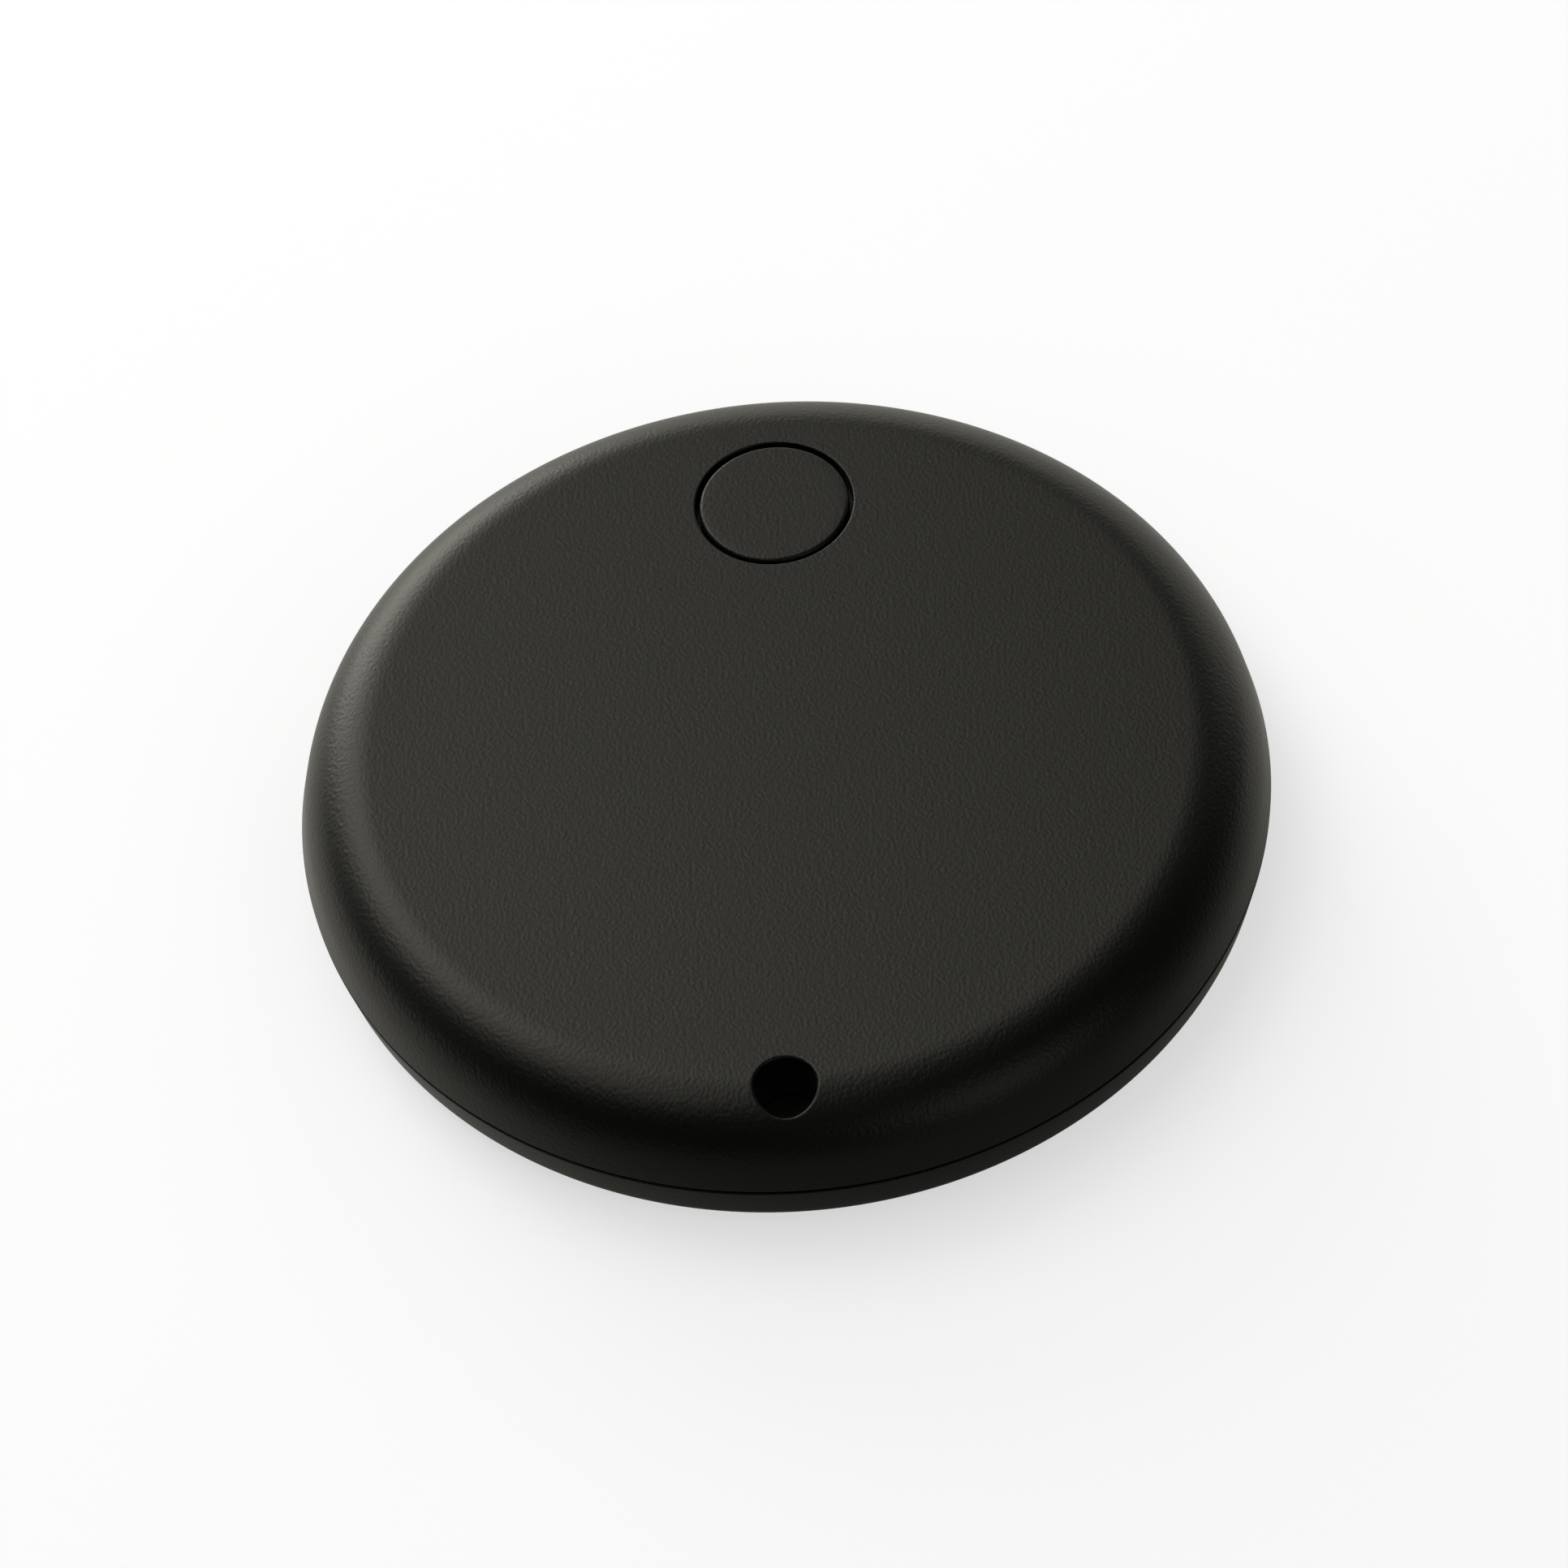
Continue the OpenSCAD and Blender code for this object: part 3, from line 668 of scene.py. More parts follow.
membrane_rim = turned("membrane_rim", [
    (FOLD_R + 0.01 * MM, FOLD_Z), (FOLD_R + FOLD_W * 0.8, FOLD_Z), (FOLD_R + FOLD_W, MEMBRANE_Z),
    (COLLAR_R[1] - soft, MEMBRANE_Z), (COLLAR_R[1], MEMBRANE_Z + soft), (COLLAR_R[1], MEMBRANE_RIM_TOP),
    (FOLD_R + 0.01 * MM, MEMBRANE_RIM_TOP)], BUTTON, 96)
smooth(membrane_rim)
membrane_silicone = textured("membrane_silicone", fine_grain, 0.12, ((0.10, 0.10, 0.11), (0.14, 0.14, 0.15)),
                             (0.5, 0.6), 0.002)
fitted(membrane, membrane_silicone, "button", "membrane_silicone", "button_membrane")
fitted(membrane_rim, membrane_silicone, "cover", "membrane_silicone")

# ---- Seal ----
# A flat ring of grey silicone lies on the tongue, with an eyelet round the lanyard hole, and is
# squeezed between the two shells.


def kept(node, material, edge=0.04, segments=2):
    """Keeps a CAD node's own mesh, softens its sharp edges and gives it its material."""
    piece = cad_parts[node]
    piece.data.materials.clear()
    piece.data.materials.append(material)
    if edge:
        weld = piece.modifiers.new("weld", "WELD")
        weld.merge_threshold = 1e-6
        bevel = piece.modifiers.new("edges", "BEVEL")
        bevel.width = edge * MM
        bevel.segments = segments
        bevel.limit_method = "ANGLE"
        bevel.angle_limit = math.radians(40)
        bevel.harden_normals = True


seal_silicone = textured("seal_silicone", fine_grain, 0.10, ((0.20, 0.21, 0.21), (0.26, 0.27, 0.27)),
                         (0.45, 0.6), 0.002)
kept("sealing_gasket", seal_silicone, 0.05, 3)

# ---- Sounder ----
# A thin brass disc glued to the floor, with a silvered ceramic disc on it. Two gold springs under
# the board press on the ceramic and on the brass.


def drawn_height(group, given):
    """Fine parallel lines along X from rolling or drawing the metal."""
    place = part_place(group, given.outputs["Size"])
    stretched = group.nodes.new("ShaderNodeVectorMath")
    stretched.operation = "MULTIPLY"
    stretched.inputs[1].default_value = (0.03, 1, 1)
    group.links.new(place, stretched.inputs[0])
    return noise(group, stretched.outputs["Vector"], 3, 0.6)


drawn_metal = texture_group("drawn_metal", drawn_height)
glue_film = textured("glue_film", fine_grain, 0.4, ((0.55, 0.50, 0.36), (0.66, 0.62, 0.47)),
                     (0.25, 0.4), 0.002)
sounder_brass = textured("sounder_brass", drawn_metal, 0.06, ((0.58, 0.40, 0.15), (0.72, 0.52, 0.22)),
                         (0.24, 0.36), 0.001, metallic=1)
sounder_ceramic = textured("sounder_ceramic", fine_grain, 0.15, ((0.62, 0.61, 0.57), (0.74, 0.73, 0.69)),
                           (0.38, 0.52), 0.002, metallic=1)
gold_plate = textured("gold_plate", fine_grain, 0.10, ((0.86, 0.58, 0.22), (0.95, 0.70, 0.32)),
                      (0.20, 0.34), 0.001, metallic=1)
kept("piezo_adhesive", glue_film, 0)
kept("piezo_plate", sounder_brass, 0.02)
kept("piezo_ceramic", sounder_ceramic, 0.02)
kept("piezo_contacts", gold_plate, 0.03)

# ---- Circuit board ----
# Glass-fibre laminate under a dark green solder mask. Copper tracks show as low ridges under the
# mask, and the bare pads, the rings round the screws and the row of vias at the rim are gold-plated.
BOARD_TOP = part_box("circuit_board")[1].z / MM
board_laminate = textured("board_laminate", fine_grain, 0.35, ((0.004, 0.040, 0.018), (0.006, 0.052, 0.024)),
                          (0.30, 0.42), 0.002, coat=0.3)
track_mask = textured("track_mask", fine_grain, 0.35, ((0.010, 0.085, 0.036), (0.014, 0.105, 0.046)),
                      (0.28, 0.38), 0.002, coat=0.3)
kept("circuit_board", board_laminate, 0.04)


def rectangle(centre, size, turn=0):
    """Corners of a rectangle, in mm, turned by so many degrees."""
    c, s = math.cos(math.radians(turn)), math.sin(math.radians(turn))
    corners = []
    for x, y in ((-1, -1), (1, -1), (1, 1), (-1, 1)):
        u, v = x * size[0] / 2, y * size[1] / 2
        corners.append((centre[0] + u * c - v * s, centre[1] + u * s + v * c))
    return corners


def disc(centre, radius, count=24):
    """Corners of a round outline."""
    turns = [2 * math.pi * i / count for i in range(count)]
    return [(centre[0] + radius * math.cos(a), centre[1] + radius * math.sin(a)) for a in turns]


def on_ring(turn, radius):
    """Place at so many degrees on a ring round the tag's middle."""
    a = math.radians(turn)
    return radius * math.cos(a), radius * math.sin(a)


def prism(work, outline, low, high, finish=0, taper=0.0):
    """Adds an upright solid to the mesh in work; all in mm, and the taper narrows its top."""
    middle = (sum(p[0] for p in outline) / len(outline), sum(p[1] for p in outline) / len(outline))
    bottom, top = [], []
    for x, y in outline:
        reach = math.hypot(x - middle[0], y - middle[1])
        shrink = 1 - taper / reach if reach else 1
        bottom.append(work.verts.new((x * MM, y * MM, low * MM)))
        top.append(work.verts.new(((middle[0] + (x - middle[0]) * shrink) * MM,
                                   (middle[1] + (y - middle[1]) * shrink) * MM, high * MM)))
    faces = [work.faces.new(bottom[::-1]), work.faces.new(top)]
    for i in range(len(outline)):
        faces.append(work.faces.new((bottom[i - 1], bottom[i], top[i], top[i - 1])))
    for face in faces:
        face.material_index = finish


def washer(work, centre, outer, inner, low, high, finish=0, count=24):
    """Adds a flat ring to the mesh in work; all in mm."""
    rings = []
    for radius, height in ((outer, low), (outer, high), (inner, high), (inner, low)):
        rings.append([work.verts.new((x * MM, y * MM, height * MM)) for x, y in disc(centre, radius, count)])
    for r in range(4):
        here, there = rings[r], rings[(r + 1) % 4]
        for i in range(count):
            work.faces.new((here[i - 1], here[i], there[i], there[i - 1])).material_index = finish


def strip(work, points, width, low, high, finish=0):
    """Adds a flat strip that follows the points with mitred corners; all in mm."""
    left, right = [], []
    for i, p in enumerate(points):
        before = Vector(points[max(i - 1, 0)])
        after = Vector(points[min(i + 1, len(points) - 1)])
        here = Vector(p)
        a = (here - before).normalized() if i else (after - here).normalized()
        b = (after - here).normalized() if i < len(points) - 1 else a
        across = (a + b).normalized()
        across = Vector((-across.y, across.x)) * (width / 2 / max(0.4, (a + b).length / 2))
        left.append(here + across)
        right.append(here - across)
    sides = []
    for line, height in ((left, low), (left, high), (right, high), (right, low)):
        sides.append([work.verts.new((p.x * MM, p.y * MM, height * MM)) for p in line])
    for s in range(4):
        here, there = sides[s], sides[(s + 1) % 4]
        for i in range(1, len(points)):
            work.faces.new((here[i - 1], here[i], there[i], there[i - 1])).material_index = finish
    work.faces.new([side[0] for side in sides]).material_index = finish
    work.faces.new([side[-1] for side in sides][::-1]).material_index = finish


def assembled(name, work, materials, body, slot, replaced=(), edge=0.0, segments=2):
    """Turns the mesh in work into a piece with soft edges, and fits it."""
    bmesh.ops.recalc_face_normals(work, faces=work.faces)
    mesh = bpy.data.meshes.new(name)
    work.to_mesh(mesh)
    work.free()
    piece = bpy.data.objects.new(name, mesh)
    scene.collection.objects.link(piece)
    if edge:
        bevel = piece.modifiers.new("edges", "BEVEL")
        bevel.width = edge * MM
        bevel.segments = segments
        bevel.limit_method = "ANGLE"
        bevel.angle_limit = math.radians(40)
    smooth(piece, 40)
    fitted(piece, materials[0], body, slot, *replaced)
    for material in materials[1:]:
        mesh.materials.append(material)
    return piece


def along_ring(start, end, radius, step=3):
    """Points of a track that follows the board's rim between two directions."""
    count = max(1, round(abs(end - start) / step))
    return [on_ring(start + (end - start) * i / count, radius) for i in range(count + 1)]


TRACK_H = 0.018
UNDER_MASK = BOARD_TOP - 0.01
TRACKS = [
    ([(-7.0, 10.6), (-6.5, 11.1), (-6.5, 12.3)], 0.14), ([(-7.0, 11.2), (-6.9, 13.2), (-6.2, 13.5)], 0.14),
    ([(-7.0, 9.9), (-5.0, 9.9), (-3.3, 11.6), (-2.1, 11.6)], 0.14),
    ([(-8.6, 12.1), (-8.6, 13.0), (-7.0, 14.8), (-3.0, 16.0), (2.0, 16.1), (3.5, 15.3)], 0.34),
    ([(-7.0, 9.3), (5.6, 9.3), (6.6, 8.7), (7.4, 8.7)], 0.14),
    ([(-7.0, 8.8), (6.2, 8.8), (6.9, 8.2), (7.8, 7.6)], 0.14),
    ([(-12.0, 8.6), (-13.0, 7.4), (-13.0, -0.8)], 0.14),
    ([(-12.0, 8.1), (-12.6, 7.3), (-12.6, -1.0), (-13.5, -1.7)], 0.14),
    ([(-12.0, 7.5), (-12.2, 7.2), (-12.2, -6.4), (-13.6, -7.8)], 0.14),
    ([(-11.1, 7.0), (-11.1, 6.7)], 0.20), ([(-9.5, 7.0), (-9.5, 6.7)], 0.20),
    ([(-7.9, 7.0), (-7.9, 6.7)], 0.20), ([(11.6, 9.4), (12.8, 8.2), (12.8, -2.3), (13.3, -3.4)], 0.22),
    ([(11.5, 8.2), (12.2, 7.5), (12.2, -3.2), (12.8, -4.1)], 0.14),
    ([(14.9, -3.4), (15.6, -1.2), (15.6, 3.2)], 0.22), ([(13.3, -6.6), (12.9, -7.8)], 0.14),
    ([(15.3, -6.1), (15.2, -7.0)], 0.14), ([(11.4, 11.4), (10.0, 12.8), (7.6, 14.0)], 0.14),
    *[(along_ring(start, end, radius), width) for start, end, radius, width in (
        (206, 318, 13.55, 0.14), (212, 312, 13.85, 0.14), (228, 250, 14.4, 0.22), (262, 300, 14.25, 0.14),
        (112, 150, 16.6, 0.30), (26, 60, 16.6, 0.30), (166, 184, 15.4, 0.20), (186, 214, 15.1, 0.14),
        (302, 328, 14.8, 0.14), (36, 52, 14.6, 0.14), (332, 342, 16.2, 0.30))],
]
work = bmesh.new()
for points, width in TRACKS:
    strip(work, points, width, UNDER_MASK, BOARD_TOP + TRACK_H)
    for end in (points[0], points[-1]):
        prism(work, disc(end, width * 0.62 + 0.08, 14), UNDER_MASK, BOARD_TOP + TRACK_H * 0.8)
assembled("board_tracks", work, [track_mask], "base", "board_laminate")

PAD_H = 0.026
PAD_TOP = BOARD_TOP + PAD_H
VIA_R = 0.22
work = bmesh.new()
for turn in range(0, 360, 4):
    spot = on_ring(turn, 17.2)
    if math.dist(spot, (0, -17.2)) > 2.8:
        washer(work, spot, VIA_R, 0.09, UNDER_MASK, PAD_TOP, count=14)
for spot in ((-11.6, 12.6), (-10.6, 13.4), (3.0, 10.0), (6.4, 11.3), (13.7, 1.6), (13.7, 0.2), (-13.9, 1.4),
             (-15.6, 2.4), (-15.9, -0.4), (15.9, -8.0), (-6.6, -13.2), (6.9, -14.2), (9.6, -12.1)):
    washer(work, spot, 0.26, 0.1, UNDER_MASK, PAD_TOP, count=16)
for spot in ((-2.9, 14.95), (12.6, 11.6), (14.4, 9.3), (-13.4, 10.3), (5.6, -15.6), (3.9, -15.4)):
    prism(work, disc(spot, 0.5), UNDER_MASK, PAD_TOP)
for turn in SCREW_TURNS:
    washer(work, on_ring(turn, SCREW_RING_R / MM), 1.35, 0.66, UNDER_MASK, BOARD_TOP + PAD_H * 0.7, count=32)
for i in range(10):
    for away in (-2.62, 2.62):
        along = -2.03 + i * 0.45
        prism(work, rectangle((-9.5 + along, 9.5 + away), (0.24, 0.34)), UNDER_MASK, PAD_TOP)
        prism(work, rectangle((-9.5 + away, 9.5 + along), (0.34, 0.24)), UNDER_MASK, PAD_TOP)
CHIP_SPOTS = {
    "capacitors": [(*on_ring(t, 16.1), t) for t in range(186, 217, 6)]
    + [(*on_ring(t, 15.8), t) for t in range(302, 327, 8)]
    + [(-11.1, 6.1, 0), (-9.5, 6.1, 0), (-7.9, 6.1, 0)],
    "resistors": [(*on_ring(t, 14), t) for t in range(205, 227, 7)]
    + [(*on_ring(t, 13.9), t) for t in (66, 75)],
}
for spots in CHIP_SPOTS.values():
    for x, y, turn in spots:
        for end in (-0.45, 0.45):
            a = math.radians(turn + 90)
            spot = (x + end * math.cos(a), y + end * math.sin(a))
            prism(work, rectangle(spot, (0.56, 0.42), turn), UNDER_MASK, PAD_TOP)
for x, y, size in ((-4.9, 12.8, (2.5, 2.0)), (-14.2, -2.5, (1.5, 3.2))):
    for side_x in (-1, 1):
        for side_y in (-1, 1):
            spot = (x + side_x * (size[0] / 2 - 0.2), y + side_y * (size[1] / 2 - 0.2))
            prism(work, rectangle(spot, (0.6, 0.6)), UNDER_MASK, PAD_TOP)
for side_x in (-1, 1):
    for row in (-1, 0, 1):
        prism(work, rectangle((14 + side_x * 1.4, -5 + row * 0.95), (0.7, 0.5)), UNDER_MASK, PAD_TOP)
    for row in (-1, 1):
        prism(work, rectangle((side_x * 1.95, 12.5 + row), (0.5, 1.0)), UNDER_MASK, PAD_TOP)
    prism(work, rectangle((9.5 + side_x * 1.7, 9), (1.1, 2.2)), UNDER_MASK, PAD_TOP)
assembled("board_pads", work, [gold_plate], "base", "gold_plate")

# ---- Board screws ----
# Three small steel cheese-head screws with a cross recess hold the board down on the bosses.
screw_steel = textured("screw_steel", fine_grain, 0.08, ((0.50, 0.50, 0.49), (0.64, 0.64, 0.62)),
                       (0.25, 0.38), 0.002, metallic=1)
screws = []
for turn in SCREW_TURNS:
    spot = on_ring(turn, SCREW_RING_R)
    base = BOARD_TOP * MM
    screw = turned("screw", [
        (0, 0.5 * MM), (0.40 * MM, 0.5 * MM), (0.58 * MM, 0.7 * MM), (0.58 * MM, base), (0.97 * MM, base),
        (1.0 * MM, base + 0.03 * MM), (1.0 * MM, base + 0.27 * MM), (0.96 * MM, base + 0.35 * MM),
        (0.84 * MM, base + 0.41 * MM), (0.55 * MM, base + 0.45 * MM), (0, base + 0.45 * MM)], spot, 48)
    for across in (0, 90):
        cross = bmesh.new()
        at = (spot[0] / MM, spot[1] / MM)
        prism(cross, rectangle(at, (1.2, 0.22), turn + across), BOARD_TOP + 0.2, BOARD_TOP + 1)
        bmesh.ops.recalc_face_normals(cross, faces=cross.faces)
        cutter_mesh = bpy.data.meshes.new("cross")
        cross.to_mesh(cutter_mesh)
        cross.free()
        cutter = bpy.data.objects.new("cross", cutter_mesh)
        scene.collection.objects.link(cutter)
        combine(screw, cutter, "DIFFERENCE")
    screws.append(screw)
work = bmesh.new()
for screw in screws:
    work.from_mesh(screw.data)
    bpy.data.objects.remove(screw)
assembled("board_screws_made", work, [screw_steel], "base", "screw_steel", ["board_screws"])

# ---- Radio chip ----
# A square leadless package in black epoxy over the gold pads, with a round mark at its first pin.
chip_epoxy = textured("chip_epoxy", fine_grain, 0.06, ((0.010, 0.010, 0.011), (0.017, 0.017, 0.018)),
                      (0.50, 0.62), 0.004)
tin = textured("tin", fine_grain, 0.12, ((0.55, 0.55, 0.53), (0.70, 0.70, 0.68)), (0.28, 0.42), 0.004,
               metallic=1)
kept("radio_chip", chip_epoxy, 0.05)

# ---- Sounder driver ----
# A six-lead package; its bent tinned leads stand on the board and the body sits clear of it.
work = bmesh.new()
prism(work, rectangle((14, -5), (2.0, 3.0)), BOARD_TOP + 0.05, BOARD_TOP + 0.5)
prism(work, rectangle((14, -5), (2.0, 3.0)), BOARD_TOP + 0.5, BOARD_TOP + 0.95, taper=0.14)
prism(work, disc((13.45, -3.95), 0.17), BOARD_TOP + 0.94, BOARD_TOP + 0.955, 1)
LEAD = [(0.95, 0.50), (1.16, 0.50), (1.28, 0.10), (1.61, 0.10), (1.61, 0.0), (1.20, 0.0), (1.08, 0.40),
        (0.95, 0.40)]
for side_x in (-1, 1):
    for row in (-1, 0, 1):
        rings = []
        for y in (-0.2, 0.2):
            along = (-5 + row * 0.95 + y) * MM
            rings.append([work.verts.new(((14 + side_x * u) * MM, along, (BOARD_TOP + v) * MM))
                          for u, v in LEAD])
        for i in range(len(LEAD)):
            work.faces.new((rings[0][i - 1], rings[0][i], rings[1][i], rings[1][i - 1])).material_index = 2
        work.faces.new(rings[0]).material_index = 2
        work.faces.new(rings[1][::-1]).material_index = 2
assembled("driver_package", work, [chip_epoxy, sounder_ceramic, tin], "base", "chip_epoxy",
          ["driver_chip"], 0.02)

# ---- Buzzer coil ----
# A ferrite drum wound with enamelled copper wire; it steps the voltage up for the sounder.
coil_ferrite = textured("coil_ferrite", fine_grain, 0.09, ((0.022, 0.022, 0.024), (0.040, 0.040, 0.042)),
                        (0.45, 0.6), 0.006)
copper_wire = textured("copper_wire", drawn_metal, 0.05, ((0.50, 0.19, 0.07), (0.68, 0.28, 0.11)),
                       (0.22, 0.34), 0.002, metallic=1, coat=0.4)
COIL = (9.5 * MM, 9 * MM)
drum_low, drum_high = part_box("buzzer_coil")[0].z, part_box("buzzer_coil")[1].z
DRUM_R = 2 * MM
CORE_R = 1.2 * MM
rim = 0.35 * MM
cut = 0.05 * MM
drum = turned("coil_drum", [
    (0, drum_low), (DRUM_R - cut, drum_low), (DRUM_R, drum_low + cut), (DRUM_R, drum_low + rim - cut),
    (DRUM_R - cut, drum_low + rim), (CORE_R, drum_low + rim), (CORE_R, drum_high - rim),
    (DRUM_R - cut, drum_high - rim), (DRUM_R, drum_high - rim + cut), (DRUM_R, drum_high - cut),
    (DRUM_R - cut, drum_high), (0, drum_high)], COIL, 72)
smooth(drum)
fitted(drum, coil_ferrite, "base", "coil_ferrite", "buzzer_coil")
TURNS = 9
wire = (drum_high - drum_low - 2 * rim) / TURNS
wound = [(1.15 * MM, drum_low + rim + 0.001 * MM)]
for i in range(TURNS):
    wound += arc((1.42 * MM, drum_low + rim + wire * (i + 0.5)), wire * 0.49, -80, 80, 6)
wound.append((1.15 * MM, drum_high - rim - 0.001 * MM))
winding = turned("coil_winding", wound, COIL, 72)
smooth(winding, 50)
fitted(winding, copper_wire, "base", "coil_ferrite")

# ---- Crystals ----
# Two nickel-plated lids welded on small ceramic trays, one for the radio and one for the clock.
crystal_can = textured("crystal_can", drawn_metal, 0.05, ((0.52, 0.50, 0.46), (0.66, 0.64, 0.60)),
                       (0.24, 0.36), 0.002, metallic=1)
tray_ceramic = textured("tray_ceramic", fine_grain, 0.1, ((0.10, 0.09, 0.08), (0.15, 0.14, 0.12)),
                        (0.5, 0.6), 0.003)
for name, node, spot, tray, lid, height in (
        ("main_crystal_made", "main_crystal", (-4.9, 12.8), (2.5, 2.0), (2.2, 1.7), 0.55),
        ("clock_crystal_made", "clock_crystal", (-14.2, -2.5), (1.5, 3.2), (1.2, 2.9), 0.75)):
    work = bmesh.new()
    prism(work, rectangle(spot, tray), BOARD_TOP, BOARD_TOP + 0.28, 1)
    prism(work, rectangle(spot, (tray[0] - 0.12, tray[1] - 0.12)), BOARD_TOP + 0.27, BOARD_TOP + 0.32)
    prism(work, rectangle(spot, lid), BOARD_TOP + 0.3, BOARD_TOP + height, taper=0.05)
    assembled(name, work, [crystal_can, tray_ceramic], "base", "crystal_can", [node], 0.07, 4)

# ---- Antenna ----
# A white ceramic block with tinned ends and a folded silver line printed on its top.
antenna_ceramic = textured("antenna_ceramic", fine_grain, 0.08, ((0.66, 0.67, 0.62), (0.76, 0.77, 0.73)),
                           (0.4, 0.55), 0.003)
ANTENNA_TURN = -19.4
ANTENNA_R = 15.05
antenna = on_ring(90 + ANTENNA_TURN, ANTENNA_R)


def by_antenna(u, v):
    """Place so far along and across the antenna from its middle."""
    c, s = math.cos(math.radians(ANTENNA_TURN)), math.sin(math.radians(ANTENNA_TURN))
    return antenna[0] + u * c - v * s, antenna[1] + u * s + v * c


work = bmesh.new()
prism(work, rectangle(antenna, (2.6, 1.56), ANTENNA_TURN), BOARD_TOP, BOARD_TOP + 1.07)
for end in (-1, 1):
    prism(work, rectangle(by_antenna(end * 1.4, 0), (0.4, 1.6), ANTENNA_TURN), BOARD_TOP, BOARD_TOP + 1.1, 1)
folds = [(-1.2, 0.5)]
for i in range(7):
    u = -1.0 + i * 0.3
    folds += [(u, 0.5 if i % 2 == 0 else -0.5), (u, -0.5 if i % 2 == 0 else 0.5)]
folds.append((1.2, folds[-1][1]))
strip(work, [by_antenna(u, v) for u, v in folds], 0.11, BOARD_TOP + 1.05, BOARD_TOP + 1.085, 1)
assembled("antenna_block", work, [antenna_ceramic, tin], "base", "antenna_ceramic", ["chip_antenna"], 0.03)

# ---- Capacitors and resistors ----
# Small two-ended parts soldered at their tinned ends: tan ceramic capacitors, and resistors with a
# black glaze on a white body.
capacitor_ceramic = textured("capacitor_ceramic", fine_grain, 0.06, ((0.25, 0.16, 0.08), (0.34, 0.23, 0.12)),
                             (0.4, 0.55), 0.003)
resistor_ceramic = textured("resistor_ceramic", fine_grain, 0.06,
                            ((0.010, 0.010, 0.010), (0.018, 0.018, 0.018)), (0.3, 0.45), 0.002)
for node, name, height, body_material in (
        ("capacitors", "capacitor_set", 0.5, capacitor_ceramic),
        ("resistors", "resistor_set", 0.35, resistor_ceramic)):
    work = bmesh.new()
    glazed = BOARD_TOP + height - 0.02
    for x, y, turn in CHIP_SPOTS[node]:
        if node == "capacitors":
            prism(work, rectangle((x, y), (0.46, 0.6), turn), BOARD_TOP, glazed)
        else:
            prism(work, rectangle((x, y), (0.48, 0.6), turn), BOARD_TOP, glazed - 0.04, 2)
            prism(work, rectangle((x, y), (0.44, 0.6), turn), glazed - 0.04, glazed)
        for end in (-1, 1):
            a = math.radians(turn + 90)
            spot = (x + end * 0.38 * math.cos(a), y + end * 0.38 * math.sin(a))
            prism(work, rectangle(spot, (0.5, 0.24), turn), BOARD_TOP, BOARD_TOP + height, 1)
    assembled(name, work, [body_material, tin, antenna_ceramic], "base", body_material.name, [node], 0.03)

# ---- Switch under the button ----
# A black plastic pocket soldered to the board. The button's pip presses the plunger on a domed steel
# disc, which goes flat and springs back; a steel plate with four legs closes the pocket.
switch_plastic = textured("switch_plastic", fine_grain, 0.08, ((0.014, 0.014, 0.015), (0.022, 0.022, 0.023)),
                          (0.4, 0.55), 0.004)
dome_steel = textured("dome_steel", drawn_metal, 0.05, ((0.52, 0.52, 0.51), (0.66, 0.66, 0.64)), (0.22, 0.34),
                      0.001, metallic=1)
plunger_plastic = textured("plunger_plastic", fine_grain, 0.1, ((0.60, 0.57, 0.48), (0.68, 0.65, 0.56)),
                           (0.4, 0.55), 0.003)
kept("switch_body", switch_plastic)
dome_low, dome_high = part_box("switch_dome")
DOME_RIM_R = (dome_high.x - dome_low.x) / 2
DOME_T = 0.08 * MM
DOME_RISE = dome_high.z - dome_low.z
under_side = [(DOME_RIM_R * i / 12, dome_high.z - DOME_T - (DOME_RISE - DOME_T) * (i / 12) ** 2)
              for i in range(13)]
upper_side = [(r, z + DOME_T) for r, z in reversed(under_side)]
click_dome = turned("click_dome", [*under_side, *upper_side], BUTTON, 64)
smooth(click_dome)
fitted(click_dome, dome_steel, "base", "dome_steel", "switch_dome")
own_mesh(click_dome)
kept("switch_frame", dome_steel, 0.02)
kept("switch_plunger", plunger_plastic, 0.05, 3)

# ---- Cell seat ----
# An off-white plastic ring with four pegs through the board. A gold-plated spring plate in its right
# window touches the can, and a low cross-shaped leaf on the board touches the lid underneath.
carrier_plastic = textured("carrier_plastic", fine_grain, 0.14, ((0.56, 0.56, 0.52), (0.64, 0.64, 0.60)),
                           (0.42, 0.55), 0.004)
kept("cell_carrier", carrier_plastic, 0.06, 3)
kept("positive_contact", gold_plate, 0.03)
kept("negative_contact", gold_plate, 0.02)

# ---- Coin cell ----
# A brushed steel can with a generic plus mark etched on its flat top, crimped over a black nylon
# ring round the lid. The pellet, the felt and the lithium disc are shut inside.


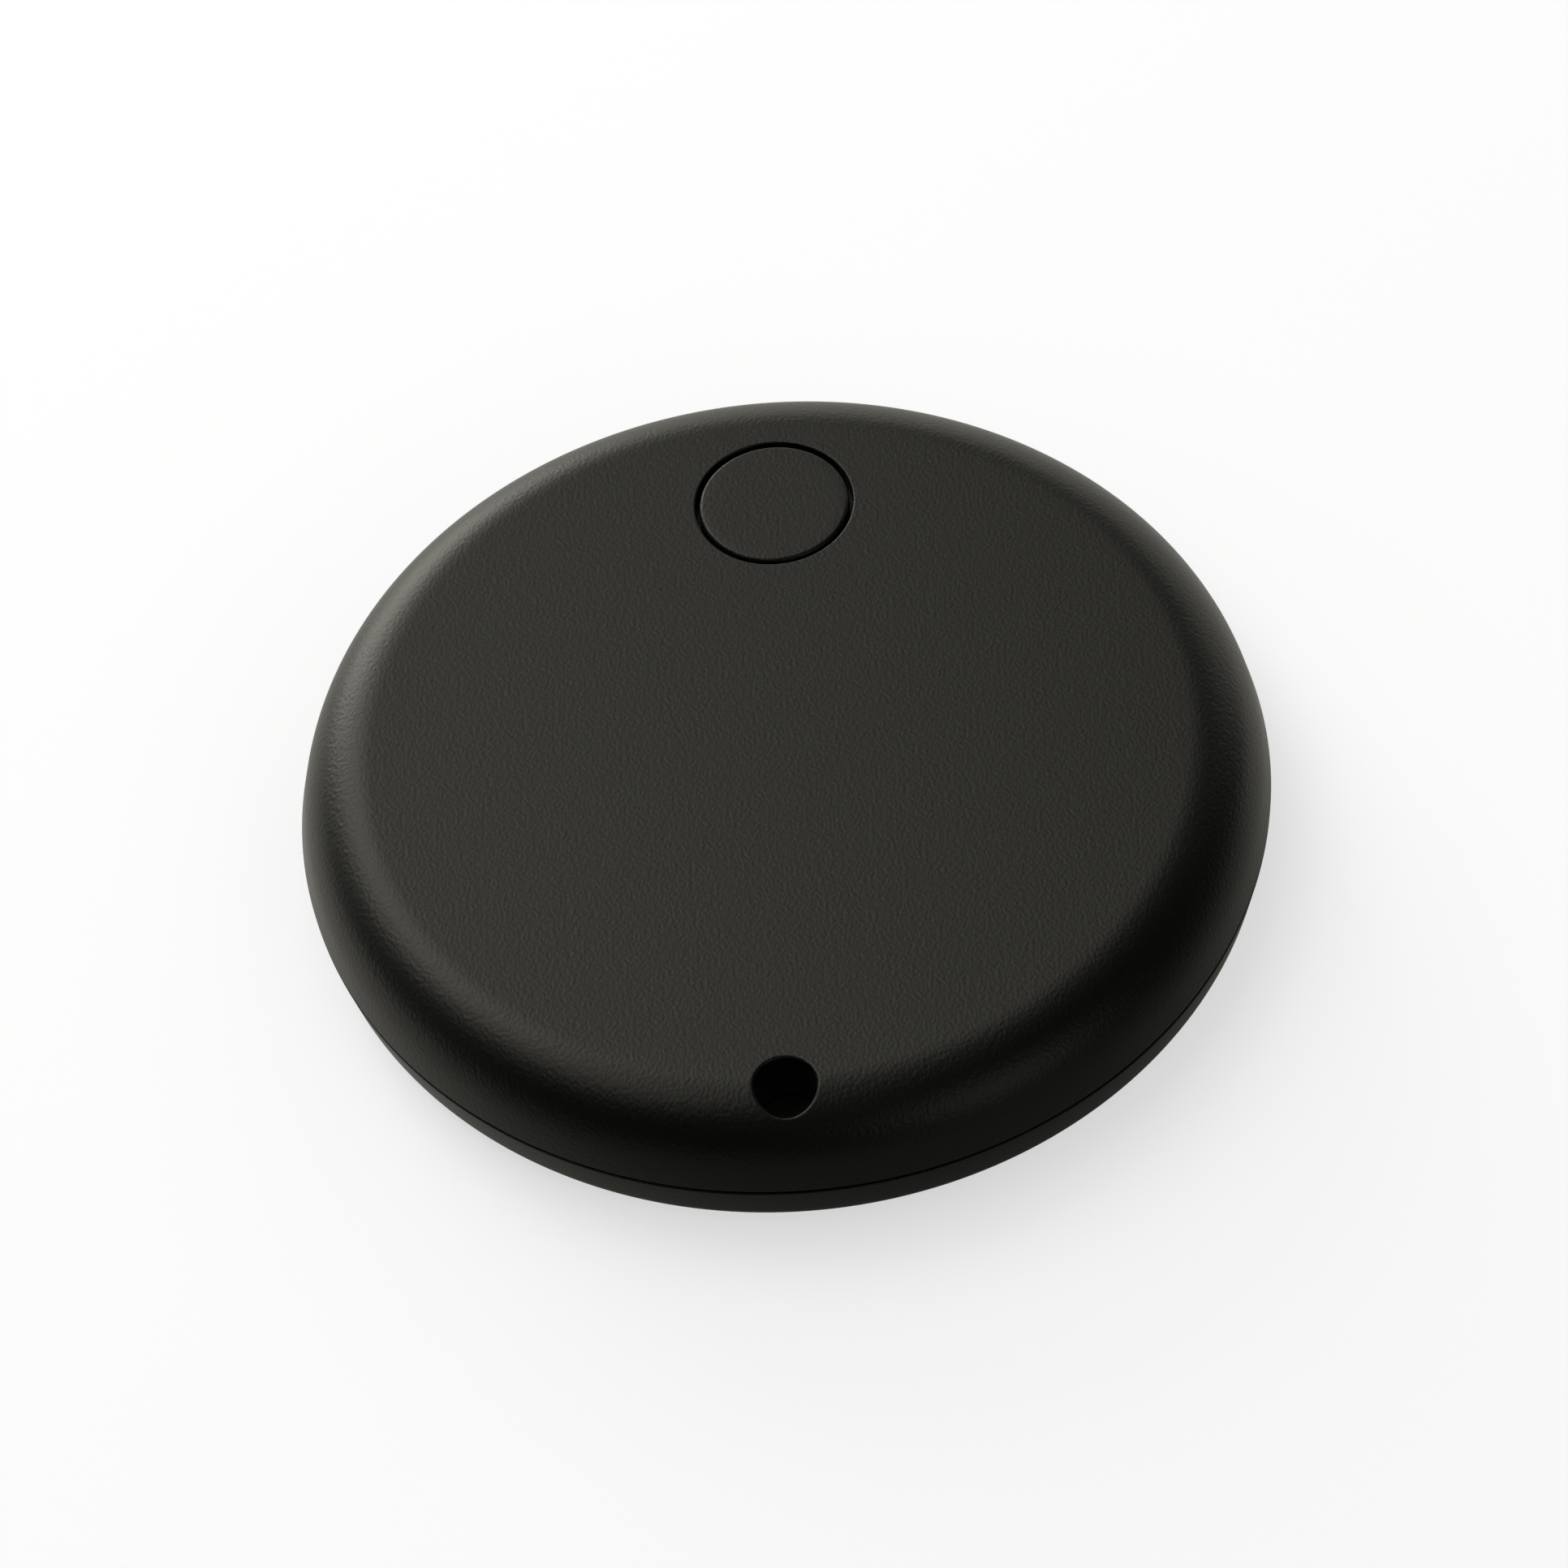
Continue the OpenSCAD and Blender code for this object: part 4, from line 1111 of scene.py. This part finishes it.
def spun_height(group, given):
    """Fine rings round the cell's axis from polishing on a lathe."""
    place = part_place(group, given.outputs["Size"])
    scale = group.nodes.new("ShaderNodeTexCoord")
    from_axis = group.nodes.new("ShaderNodeVectorMath")
    from_axis.operation = "SUBTRACT"
    group.links.new(scale.outputs["Object"], from_axis.inputs[0])
    group.links.new(given.outputs["Axis"], from_axis.inputs[1])
    flat = group.nodes.new("ShaderNodeVectorMath")
    flat.operation = "MULTIPLY"
    flat.inputs[1].default_value = (1, 1, 0)
    group.links.new(from_axis.outputs["Vector"], flat.inputs[0])
    away = group.nodes.new("ShaderNodeVectorMath")
    away.operation = "LENGTH"
    group.links.new(flat.outputs["Vector"], away.inputs[0])
    metres = group.nodes.new("ShaderNodeMath")
    metres.operation = "MULTIPLY"
    metres.inputs[1].default_value = MM
    group.links.new(given.outputs["Size"], metres.inputs[0])
    count = group.nodes.new("ShaderNodeMath")
    count.operation = "DIVIDE"
    group.links.new(away.outputs["Value"], count.inputs[0])
    group.links.new(metres.outputs["Value"], count.inputs[1])
    slow = group.nodes.new("ShaderNodeVectorMath")
    slow.operation = "SCALE"
    slow.inputs["Scale"].default_value = 0.02
    group.links.new(place, slow.inputs["Vector"])
    rings = group.nodes.new("ShaderNodeCombineXYZ")
    group.links.new(count.outputs["Value"], rings.inputs["X"])
    both = group.nodes.new("ShaderNodeVectorMath")
    both.operation = "ADD"
    group.links.new(rings.outputs["Vector"], both.inputs[0])
    group.links.new(slow.outputs["Vector"], both.inputs[1])
    return noise(group, both.outputs["Vector"], 3, 0.6)


spun_metal = texture_group("spun_metal", spun_height, [("Axis", "NodeSocketVector", (0, 0, 0))])
CELL = Vector((0, -2.5)) * MM
cell_low, cell_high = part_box("cell_can")
CELL_R = cell_high.x
CAN_T = 0.25 * MM
CAN_EDGE = 0.4 * MM
can = turned("cell_case", [
    (CELL_R - 2 * CAN_EDGE, cell_low.z),
    *arc((CELL_R - CAN_EDGE, cell_low.z + CAN_EDGE), CAN_EDGE, 270, 360, 8),
    *arc((CELL_R - CAN_EDGE, cell_high.z - CAN_EDGE), CAN_EDGE, 0, 90, 8),
    (CELL_R - 0.9 * MM, cell_high.z), (CELL_R * 0.5, cell_high.z), (0, cell_high.z),
    (0, cell_high.z - CAN_T), (CELL_R - CAN_T, cell_high.z - CAN_T), (CELL_R - CAN_T, cell_low.z + CAN_T),
    (CELL_R - 2 * CAN_EDGE, cell_low.z + CAN_T)], CELL, 192)
smooth(can)
cell_steel = textured("cell_steel", spun_metal, 0.07, ((0.50, 0.50, 0.49), (0.62, 0.62, 0.60)), (0.24, 0.34),
                      0.0008, metallic=1, more=[("Axis", (*CELL, 0))])
fitted(can, cell_steel, "cell", "cell_steel", "cell_can")
work = bmesh.new()
etch = cell_high.z / MM
for size in ((2.6, 0.5), (0.5, 2.6)):
    prism(work, rectangle((0, -8.2), size), etch - 0.01, etch + 0.006)
etched_mark = textured("etched_mark", fine_grain, 0.05, ((0.16, 0.16, 0.16), (0.22, 0.22, 0.21)), (0.5, 0.6),
                       0.004, metallic=1)
assembled("cell_plus_mark", work, [etched_mark], "cell", "cell_steel")
cell_nylon = textured("cell_nylon", fine_grain, 0.1, ((0.014, 0.014, 0.014), (0.022, 0.022, 0.022)),
                      (0.4, 0.5), 0.003)
cell_pellet = textured("cell_pellet", fine_grain, 0.08, ((0.006, 0.006, 0.006), (0.014, 0.014, 0.014)),
                       (0.7, 0.85), 0.01)
cell_felt = textured("cell_felt", fine_grain, 0.12, ((0.72, 0.72, 0.69), (0.84, 0.84, 0.81)),
                     (0.8, 0.9), 0.02)
cell_lithium = textured("cell_lithium", fine_grain, 0.2, ((0.52, 0.52, 0.53), (0.62, 0.62, 0.63)),
                        (0.35, 0.5), 0.004, metallic=1)
kept("cell_cap", cell_steel, 0.06, 3)
kept("cell_seal", cell_nylon, 0)
kept("cell_cathode", cell_pellet, 0.05)
kept("cell_separator", cell_felt, 0)
kept("cell_anode", cell_lithium, 0.05)

# ---- Foam pad ----
# A punched disc of dark grey open-cell foam stuck under the top face; it keeps the cell from rattling.
pad_low, pad_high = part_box("foam_pad")
PAD_R = pad_high.x
pad = turned("cell_pad", [
    (0, pad_low.z), (PAD_R - 0.08 * MM, pad_low.z), (PAD_R - 0.02 * MM, pad_low.z + 0.04 * MM),
    (PAD_R, (pad_low.z + pad_high.z) / 2), (PAD_R - 0.02 * MM, pad_high.z - 0.03 * MM),
    (PAD_R - 0.05 * MM, pad_high.z), (0, pad_high.z)], CELL, 128)
smooth(pad)


def foam_height(group, given):
    """Open cells with thin walls; as this height also sets the colour, the hollows are painted darker than
    the walls as painted shade.
    """
    cells = group.nodes.new("ShaderNodeTexVoronoi")
    cells.inputs["Scale"].default_value = 1
    group.links.new(part_place(group, given.outputs["Size"]), cells.inputs["Vector"])
    return cells.outputs["Distance"]


open_cells = texture_group("open_cells", foam_height)
# The foam's own colour is dark grey; the hollows of its cells are painted darker than the walls as painted
# shade.
pad_foam = textured("pad_foam", open_cells, 0.16, ((0.010, 0.010, 0.011), (0.050, 0.050, 0.054)),
                    (0.85, 0.95), 0.06)
fitted(pad, pad_foam, "cover", "pad_foam", "foam_pad")
